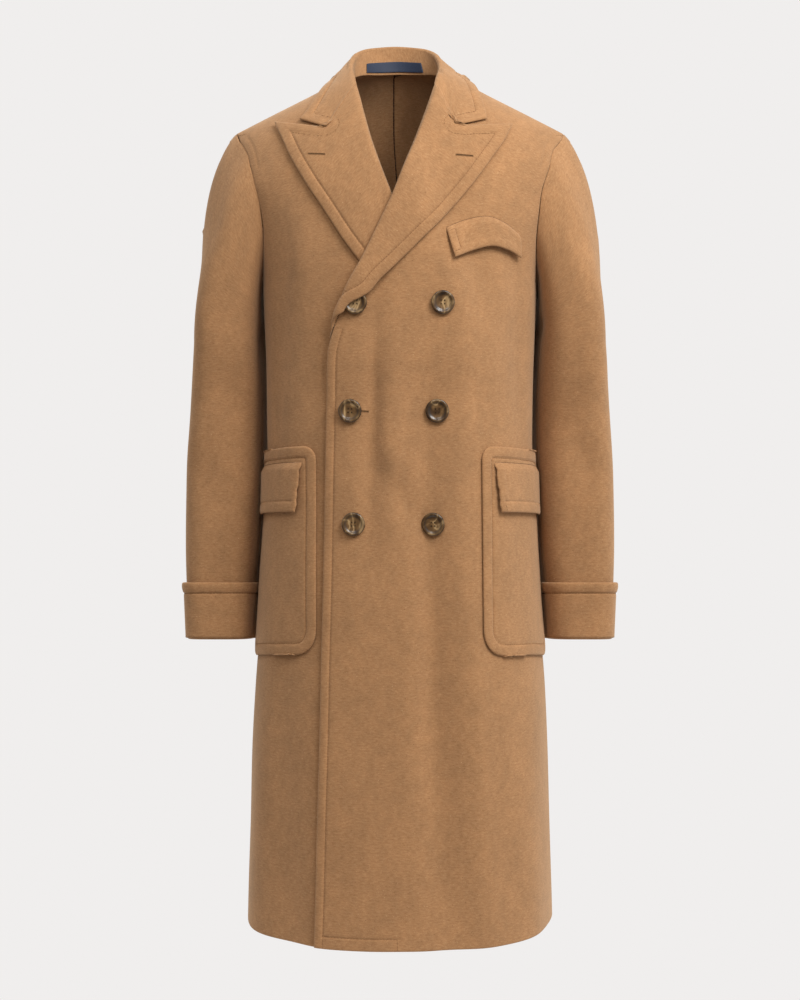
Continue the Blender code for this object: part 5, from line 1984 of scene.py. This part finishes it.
    def fall(self) -> Cloth:
        """The fall with its swelled edge, ends and corners."""
        fine = fine_steps(Edge.FOLDED, self.stitch)
        seam = fine_steps(Edge.SEAM)
        share = spaced(2 * self.half_length, self.pitch, fine, fine)
        grid = lay_out(self.fall_place, share, fine, seam, self.pitch)
        edges = Edges(*[Edge.JOINED] * 4)
        cloth = Cloth("collar_fall", edges, grid, stitch=self.stitch)
        free, sewn = [cloth.points[:, 0]], []
        for side, row in ((Side.RIGHT, cloth.points[0]), (Side.LEFT, cloth.points[-1])):
            x, height = NOTCH[side]
            notch = np.argmin(np.hypot(row[:, 0] - x, row[:, 2] - height - self.notch_gap))
            free.append(row[: notch + 1])
            sewn.append(row[notch:])
        Lapels.finish_edges(cloth, free, sewn)
        return cloth

    def build(self) -> None:
        """Makes the collar and its label."""
        cloth = self.fall()
        x, height = NOTCH[Side.RIGHT]
        sewing = Sewing.beside(cloth, (x, -0.1, height))
        self.room.cloth(cloth, Held.FOLDED, ["collar_stand"], sewing)
        reach = 0.5 * self.stand_reach
        share = np.linspace(0.5 - reach, 0.5 + reach, self.stand_columns)
        seam = fine_steps(Edge.SEAM)
        grid = lay_out(self.stand_place, share, seam, seam, self.stand_pitch)
        stand = Cloth("collar_stand", Edges(start=Edge.JOINED), grid, wall=self.stand_wall)
        self.room.cloth(stand, Held.HUNG, ["back_left", "back_right"])
        self.build_label()

    def build_label(self) -> None:
        """Makes the bare label and the stitches that hold its ends."""
        seam = fine_steps(Edge.SEAM) * 0.5
        share = np.linspace(0, 1, self.label_columns)
        grid = lay_out(self.label_place, share, seam, seam, self.label_pitch)
        cloth = Cloth("neck_label", Edges(), grid, wall=self.label_wall)
        sewing = Sewing(self.label_stitch)
        for line in (1, -2):
            lift = cloth.normals[line] * self.label_stitch_lift
            sewing.line(cloth.points[line] + lift, cloth.normals[line])
        self.room.cloth(cloth, Held.LAID, ["collar_stand"], sewing, Slot.LABEL)


# Pockets


class BreastWelt(NamedTuple):
    """The breast welt's upper and lower lines as seen from the front."""

    share: float
    top_x: float
    top_height: float
    low_x: float
    low_height: float


BREAST_WELT = (
    BreastWelt(0.00, 0.0590, -0.2095, 0.0690, -0.2485),
    BreastWelt(0.30, 0.0860, -0.1985, 0.0940, -0.2390),
    BreastWelt(0.60, 0.1140, -0.1935, 0.1190, -0.2330),
    BreastWelt(0.80, 0.1385, -0.2020, 0.1395, -0.2380),
    BreastWelt(1.00, 0.1590, -0.2180, 0.1580, -0.2475),
)


@dataclass
class Pockets:
    """Patch pockets with flaps at the hips, and the curved welt at the breast."""

    form: CoatForm
    room: Workroom
    layer_gap: float = 0.0012
    top: float = -0.4950
    bottom: float = -0.7710
    front_x: dict[Side, float] = field(default_factory=lambda: {Side.LEFT: 0.1030, Side.RIGHT: 0.1095})
    back_angle: float = 88.0
    top_radius: float = 0.018
    bottom_radius: float = 0.036
    sag: float = 0.014
    stitch: float = 0.0150
    flap_top: float = -0.5160
    flap_bottom: float = -0.5820
    flap_inset: dict[Side, float] = field(default_factory=lambda: {Side.LEFT: 0.0165, Side.RIGHT: 0.0178})
    flap_back_angle: float = 86.0
    flap_flare: float = 0.0036
    flap_wave: float = 0.0008
    flap_stitch: float = 0.0145
    welt_flare: float = 0.0040
    welt_stitch: float = 0.0120
    # Painted shadow bars along the flaps' and welt's top seams, and how far they stand off the cloth.
    top_seam: Stitch = Stitch(0.0046, 0.0042, 0.00036)
    top_seam_lift: float = 0.0008
    sag_curve: float = 1.3
    tuck: float = 0.0034
    flap_tuck_from: float = 0.86
    welt_tuck_from: float = 0.80
    corner_draw: float = 0.8
    side_radius: float = 0.19
    flap_slope: float = 0.005
    stitch_sunk: float = 0.6
    corner_rows: int = 26
    between_rows: int = 62
    flap_pitch: float = 0.0028
    welt_pitch: float = 0.0025
    # How far along the welt's top its painted shadow runs.
    welt_seam_reach: float = 0.8
    welt_depth: float = 0.040
    top_rows: tuple[float, float, float] = (0.0, 0.0004, 0.001)
    pitch: float = 0.0030

    def lift(self, side: Side, angle: Array, level: Array) -> Array:
        """How far a pocket's face stands off the form."""
        points = self.form.point(angle, level)
        return self.form.front_lift(side, points[:, 0], points[:, 2]) + self.layer_gap + self.form.wall

    def inset(self, height: Array) -> Array:
        """How far the round corners draw a row's ends in."""
        low = np.clip((self.bottom + self.bottom_radius - height) / self.bottom_radius, 0, 1)
        high = np.clip((height - self.top + self.top_radius) / self.top_radius, 0, 1)
        bent = self.bottom_radius * (1 - np.sqrt(1 - low**2))
        return bent + self.top_radius * (1 - np.sqrt(1 - high**2))

    def patch_place(self, side: Side) -> Place:
        """A patch pocket's face, by share across and height."""
        form, sign = self.form, side.value

        def put(across: Array, height: Array) -> Array:
            """The patch's points at shares across and heights."""
            inset = self.inset(height)
            along = across if sign > 0 else 1 - across
            height = height - self.sag * along**self.sag_curve
            level = form.level_at(np.zeros_like(height), height)
            start = form.angle_at(self.front_x[side] + inset * self.corner_draw, level)
            end = np.radians(self.back_angle) - inset / self.side_radius
            angle = sign * mix(start, end, along)
            lift = self.lift(side, angle, level)
            return form.point(angle, level) + form.normal(angle, level) * lift[:, None]

        return put

    def flap_place(self, side: Side) -> Place:
        """A pocket's flap, tucked in along its top and standing off along its bottom."""
        form, sign = self.form, side.value

        def put(across: Array, share: Array) -> Array:
            """The flap's points at shares across and up it."""
            along = across if sign > 0 else 1 - across
            height = mix(self.flap_bottom, self.flap_top, share) - self.sag * along**self.sag_curve
            level = form.level_at(np.zeros_like(height), height)
            wave = self.flap_wave * np.sin(23 * share + 1.1) * np.sin(9 * share + 0.4) * (1 - along) ** 3
            x = self.front_x[side] + self.flap_inset[side] + self.flap_slope * (1 - share) + wave
            angle = sign * mix(form.angle_at(x, level), np.radians(self.flap_back_angle), along)
            flare = self.flap_flare * (1 - share) ** 0.8 * (1 - 0.7 * along)
            tuck = self.tuck * ease((share - self.flap_tuck_from) / (1 - self.flap_tuck_from))
            lift = self.lift(side, angle, level) + self.layer_gap + form.wall + flare - tuck
            return form.point(angle, level) + form.normal(angle, level) * lift[:, None]

        return put

    def welt_place(self, across: Array, share: Array) -> Array:
        """The breast welt, sewn along its top and standing off along its bottom."""
        top_x, top_height, low_x, low_height = (
            column(BREAST_WELT, across, "share", name) for name in BreastWelt._fields[1:]
        )
        x, height = mix(low_x, top_x, share), mix(low_height, top_height, share)
        lift = self.form.overlap(x, height) + self.layer_gap + self.form.wall
        tuck = self.tuck * ease((share - self.welt_tuck_from) / (1 - self.welt_tuck_from))
        lift = lift + self.welt_flare * (1 - share) - tuck
        return self.form.lifted(x, height, lift)[0]

    def patch(self, side: Side) -> Cloth:
        """One patch pocket with its swelled edge."""
        turn = np.linspace(0, math.pi / 2, self.corner_rows)
        low = self.bottom + self.bottom_radius * (1 - np.cos(turn))
        high = self.top - self.top_radius * (1 - np.cos(turn[::-1]))
        between = np.linspace(low[-1], high[0], self.between_rows)[1:-1]
        rows = np.concatenate([low, between, high])
        fine = fine_steps(Edge.FOLDED, self.stitch)
        grid = lay_out(self.patch_place(side), rows, fine, fine, self.pitch)
        edges = Edges(*[Edge.FOLDED] * 4)
        return Cloth(f"pocket_{side.word}", edges, grid, stitch=self.stitch)

    def flap(self, side: Side) -> Cloth:
        """One pocket flap."""
        fine = fine_steps(Edge.FOLDED, self.flap_stitch)
        depth = self.flap_top - self.flap_bottom
        rows = spaced(depth, self.flap_pitch, fine, np.array(self.top_rows))
        grid = lay_out(self.flap_place(side), rows, fine, fine, self.pitch)
        edges = Edges(Edge.FOLDED, Edge.FOLDED, Edge.FOLDED, Edge.SEAM)
        cloth = Cloth(f"pocket_flap_{side.word}", edges, grid, stitch=self.flap_stitch, sunk=0.0)
        return self.stitched(cloth, cloth.points[0], (cloth.points[:, 0], cloth.points[:, -1]))

    def stitched(self, cloth: Cloth, edge: Array, ends: Sequence[Array]) -> Cloth:
        """Presses one stitched groove beside an edge, short of a piece's ends.

        Args:
            cloth: The piece.
            edge: The line of the edge that the groove runs beside.
            ends: Lines that the groove keeps clear of.

        Returns:
            The piece, with the groove's distances in place of its edges'.
        """
        gap = cloth.distance(edge)
        clear = np.min([cloth.distance(line) for line in ends], axis=0)
        cloth.sunk = self.stitch_sunk
        cloth.press(gap, cloth.stitch, ease((clear - 0.005) / 0.004))
        cloth.swelled = np.where(clear > 0.007, gap, 1.0)
        return cloth

    def seam_line(self, cloth: Cloth, reach: float) -> None:
        """Draws the painted shadow along a piece's top seam, over a share of its length."""
        end = int(reach * cloth.points.shape[1])
        normals = cloth.normals[-1, :end]
        line = cloth.points[-1, :end] + normals * self.top_seam_lift
        self.room.dark_line(cloth.node + "_seam", line, normals, self.top_seam)

    def build(self) -> None:
        """Makes the pockets, flaps and welt with their topstitching, and the painted shadow along the tops
        of the flaps and welt.
        """
        for side in Side:
            for cloth, under in ((self.patch(side), "front"), (self.flap(side), "pocket")):
                sewing = Sewing.beside(cloth, cloth.points[-1, 0])
                self.room.cloth(cloth, Held.LAID, [f"{under}_{side.word}"], sewing)
            self.seam_line(cloth, 1.0)
        fine = fine_steps(Edge.FOLDED, self.welt_stitch)
        rows = spaced(self.welt_depth, self.welt_pitch, fine, np.array(self.top_rows))
        grid = lay_out(self.welt_place, rows, fine, fine, self.pitch)
        edges = Edges(Edge.FOLDED, Edge.FOLDED, Edge.FOLDED, Edge.SEAM)
        cloth = Cloth("breast_welt", edges, grid, stitch=self.welt_stitch, sunk=0.0)
        self.stitched(cloth, cloth.points[:, 0], (cloth.points[0], cloth.points[-1]))
        self.room.cloth(cloth, Held.LAID, ["front_left"], Sewing.beside(cloth, cloth.points[-1, 0]))
        self.seam_line(cloth, self.welt_seam_reach)


# Buttons


class ButtonRow(NamedTuple):
    """Button centres as seen from the front, and how far each is seated off the cloth."""

    name: str
    height: float
    right_x: float
    right_seat: float
    left_x: float
    left_seat: float


BUTTON_ROWS = (
    ButtonRow("upper", -0.3060, -0.0557, 0.0011, 0.0544, 0.0008),
    ButtonRow("middle", -0.4470, -0.0640, 0.0012, 0.0493, 0.0012),
    ButtonRow("lower", -0.5950, -0.0605, 0.0007, 0.0469, 0.0005),
)


@dataclass
class Buttons:
    """Dished four-hole horn buttons and their threads."""

    form: CoatForm
    room: Workroom
    diameter: float = 0.031
    thickness: float = 0.0048
    hole: float = 0.0021
    spacing: float = 0.0046
    segments: int = 64
    drill_segments: int = 16
    sharp_angle: float = 38.0
    face_share: float = 0.57
    thread: Stitch = Stitch(radius=0.00062, sides=7)
    thread_rise: float = 0.0003
    thread_depth: float = 0.0008
    thread_gather: float = 0.3
    thread_lean: tuple[float, float, float] = (0.13, 0.0, 0.07)

    def profile(self) -> list[tuple[float, float]]:
        """The turned section, from the middle of the face out and back underneath."""
        radius, thick = self.diameter / 2, self.thickness
        rim = [(0.80, 0.97), (0.86, 1.02), (0.92, 0.98), (0.965, 0.86), (0.99, 0.70), (1.0, 0.56)]
        face = [(0.0, 0.52), (0.30, 0.53), (0.52, 0.58), (0.62, 0.66), (0.69, 0.78), (0.745, 0.90)]
        back = [(0.985, 0.38), (0.94, 0.20), (0.86, 0.06), (0.72, 0.0), (0.0, 0.0)]
        return [(radius * r, thick * z) for r, z in [*face, *rim, *back]]

    def blank(self) -> bpy.types.Mesh:
        """The turned button with its four holes cut through."""
        bm = bmesh.new()
        verts = [bm.verts.new((r, 0.0, z)) for r, z in self.profile()]
        edges = [bm.edges.new(pair) for pair in zip(verts, verts[1:])]
        bmesh.ops.spin(
            bm,
            geom=[*verts, *edges],
            cent=(0.0, 0.0, 0.0),
            axis=(0.0, 0.0, 1.0),
            angle=2 * math.pi,
            steps=self.segments,
            use_merge=True,
        )
        bmesh.ops.remove_doubles(bm, verts=bm.verts, dist=1e-6)
        bmesh.ops.recalc_face_normals(bm, faces=bm.faces)
        turned = self.stray_object("button_turned", bm)
        drilled = bmesh.new()
        half = self.spacing / 2
        for x in (-half, half):
            for y in (-half, half):
                made = bmesh.ops.create_cone(
                    drilled,
                    cap_ends=True,
                    segments=self.drill_segments,
                    radius1=self.hole / 2,
                    radius2=self.hole / 2,
                    depth=4 * self.thickness,
                )
                bmesh.ops.translate(drilled, verts=made["verts"], vec=(x, y, 0.0))
        drills = self.stray_object("button_drills", drilled)
        cut = turned.modifiers.new("holes", "BOOLEAN")
        cut.object = drills
        cut.solver = "EXACT"
        bpy.context.view_layer.update()
        made = turned.evaluated_get(bpy.context.evaluated_depsgraph_get())
        mesh = bpy.data.meshes.new_from_object(made)
        for stray in (turned, drills):
            bpy.data.objects.remove(stray)
        flat = mesh.uv_layers.new(name="face").data
        for loop in mesh.loops:
            flat[loop.index].uv = mesh.vertices[loop.vertex_index].co.xy / (self.diameter / 2)
        return mesh

    @staticmethod
    def stray_object(name: str, bm: bmesh.types.BMesh) -> bpy.types.Object:
        """A working object from a bmesh, which is freed."""
        mesh = bpy.data.meshes.new(name)
        bm.to_mesh(mesh)
        bm.free()
        return linked(name, mesh)

    def build(self) -> None:
        """Makes the six buttons with their threads."""
        blank = self.blank()
        for row in BUTTON_ROWS:
            for side in Side:
                x = np.array([getattr(row, side.word + "_x")])
                height = np.array([row.height])
                lift = self.form.overlap(x, height)
                seat = getattr(row, side.word + "_seat")
                point, out = self.form.lifted(x, height, lift + seat)
                self.button(f"button_{row.name}_{side.word}", blank, point[0], out[0])

    def button(self, name: str, blank: bpy.types.Mesh, point: Array, out: Array) -> None:
        """One button in its place, sewn on through its holes.

        Args:
            name: Its CAD node.
            blank: The finished button at the origin.
            point: Where the middle of its back is.
            out: The way that it faces.
        """
        turn = Vector(out).to_track_quat("Z", "Y").to_matrix().to_4x4()
        turn.translation = Vector(point)
        mesh = blank.copy()
        mesh.name = name + "_horn"
        mesh.transform(turn)
        mesh.materials.clear()
        mesh.materials.append(self.room.finishes.horn)
        mesh.shade_smooth()
        mesh.set_sharp_from_angle(angle=math.radians(self.sharp_angle))
        self.room.fit(linked(mesh.name, mesh), Slot.HORN, name)
        sewing = Sewing(self.thread)
        half, face = self.spacing / 2, self.face_share * self.thickness + self.thread_rise
        gather = self.thread_gather
        for x in (-half, half):
            for y in (-half, half):
                start = turn @ Vector((x, y, face))
                end = turn @ Vector((gather * x, gather * y, -self.thread_depth))
                sewing.bar(np.array(start), np.array(end), out + np.array(self.thread_lean))
        self.room.fit(sewing.build(name + "_thread", self.room.finishes.button_thread), Slot.HORN)


# Studio


class Lamp(NamedTuple):
    """A soft square light: where it stands, what it points at, its side and its watts."""

    name: str
    place: tuple[float, float, float]
    aim: tuple[float, float, float]
    size: float
    power: float


LAMPS = (
    Lamp("key", (1.5, -1.9, 1.8), (0.05, 0.0, -0.40), 1.4, 94.0),
    Lamp("fill", (-0.5, -2.2, 1.4), (-0.08, 0.0, -0.10), 0.8, 16.0),
    Lamp("back_light", (-0.6, 2.4, 1.4), (0.0, 0.0, -0.3), 1.6, 14.0),
)


@dataclass
class Studio:
    """Pale floor, pale room, soft light and the camera."""

    floor_height: float = -1.50
    floor_radius: float = 0.70
    camera_place: tuple[float, float, float] = (0.0, -3.2, -0.315)
    camera_pitch: float = 0.0815
    lens: float = 84.1
    sensor: float = 36.0
    room: Colour = (0.871, 0.855, 0.847)
    dim_way: tuple[float, float, float] = (-0.36, -0.80, -0.48)
    dim: Colour = (0.235, 0.210, 0.190)
    dim_from: float = 0.75

    def build(self) -> None:
        """Makes the floor, the lights, the room and the camera."""
        self.floor()
        for lamp in LAMPS:
            self.light(lamp)
        self.surround()
        self.camera()

    def floor(self) -> None:
        """The round pale floor under the coat."""
        bm = bmesh.new()
        bmesh.ops.create_circle(bm, cap_ends=True, segments=128, radius=self.floor_radius)
        bmesh.ops.translate(bm, verts=bm.verts, vec=(0.0, 0.0, self.floor_height))
        mesh = bpy.data.meshes.new("studio_floor")
        bm.to_mesh(mesh)
        bm.free()
        mesh.materials.append(PaperWhite().material())
        linked("studio_floor", mesh)

    @staticmethod
    def light(row: Lamp) -> None:
        """Hangs one light."""
        lamp = bpy.data.lights.new(row.name, "AREA")
        lamp.shape = "SQUARE"
        lamp.size = row.size
        lamp.energy = row.power
        made = linked(row.name, lamp)
        made.location = row.place
        made.rotation_mode = "QUATERNION"
        made.rotation_quaternion = (Vector(row.aim) - Vector(row.place)).to_track_quat("-Z", "Y")
        made.visible_camera = False

    def surround(self) -> None:
        """The pale room, dimmer low down in front of the coat, and a plain view of its colours."""
        scene = bpy.context.scene
        scene.world = bpy.data.worlds.new("pale_room")
        scene.world.use_nodes = True
        nodes, links = scene.world.node_tree.nodes, scene.world.node_tree.links
        way = nodes.new("ShaderNodeTexCoord")
        facing = nodes.new("ShaderNodeVectorMath")
        facing.operation = "DOT_PRODUCT"
        facing.inputs[1].default_value = Vector(self.dim_way).normalized()
        links.new(way.outputs["Generated"], facing.inputs[0])
        paint = nodes.new("ShaderNodeValToRGB")
        links.new(facing.outputs["Value"], paint.inputs["Fac"])
        bright, dim = paint.color_ramp.elements
        bright.position, dim.position = 0.0, self.dim_from
        bright.color = (*self.room, 1.0)
        dim.color = (*self.dim, 1.0)
        links.new(paint.outputs["Color"], nodes["Background"].inputs["Color"])
        scene.view_settings.view_transform = "Standard"
        scene.view_settings.look = "None"

    def camera(self) -> None:
        """The camera at the photograph's angle."""
        lens = bpy.data.cameras.new("camera")
        lens.lens = self.lens
        lens.sensor_width = self.sensor
        made = linked("camera", lens)
        made.location = self.camera_place
        made.rotation_euler = (math.pi / 2 - self.camera_pitch, 0.0, 0.0)
        bpy.context.scene.camera = made


def main() -> None:
    """Loads the frame, dresses the coat and sets the studio."""
    logging.basicConfig(level=logging.INFO, format="%(message)s")
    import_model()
    room = Workroom(Finishes())
    form = CoatForm()
    Studio().build()
    BodyPanels(form, room).build()
    Sleeves(form, room).build()
    lapels = Lapels(form, room)
    lapels.build()
    Collar(form, room, lapels).build()
    Pockets(form, room).build()
    Buttons(form, room).build()


if __name__ == "__main__":
    main()
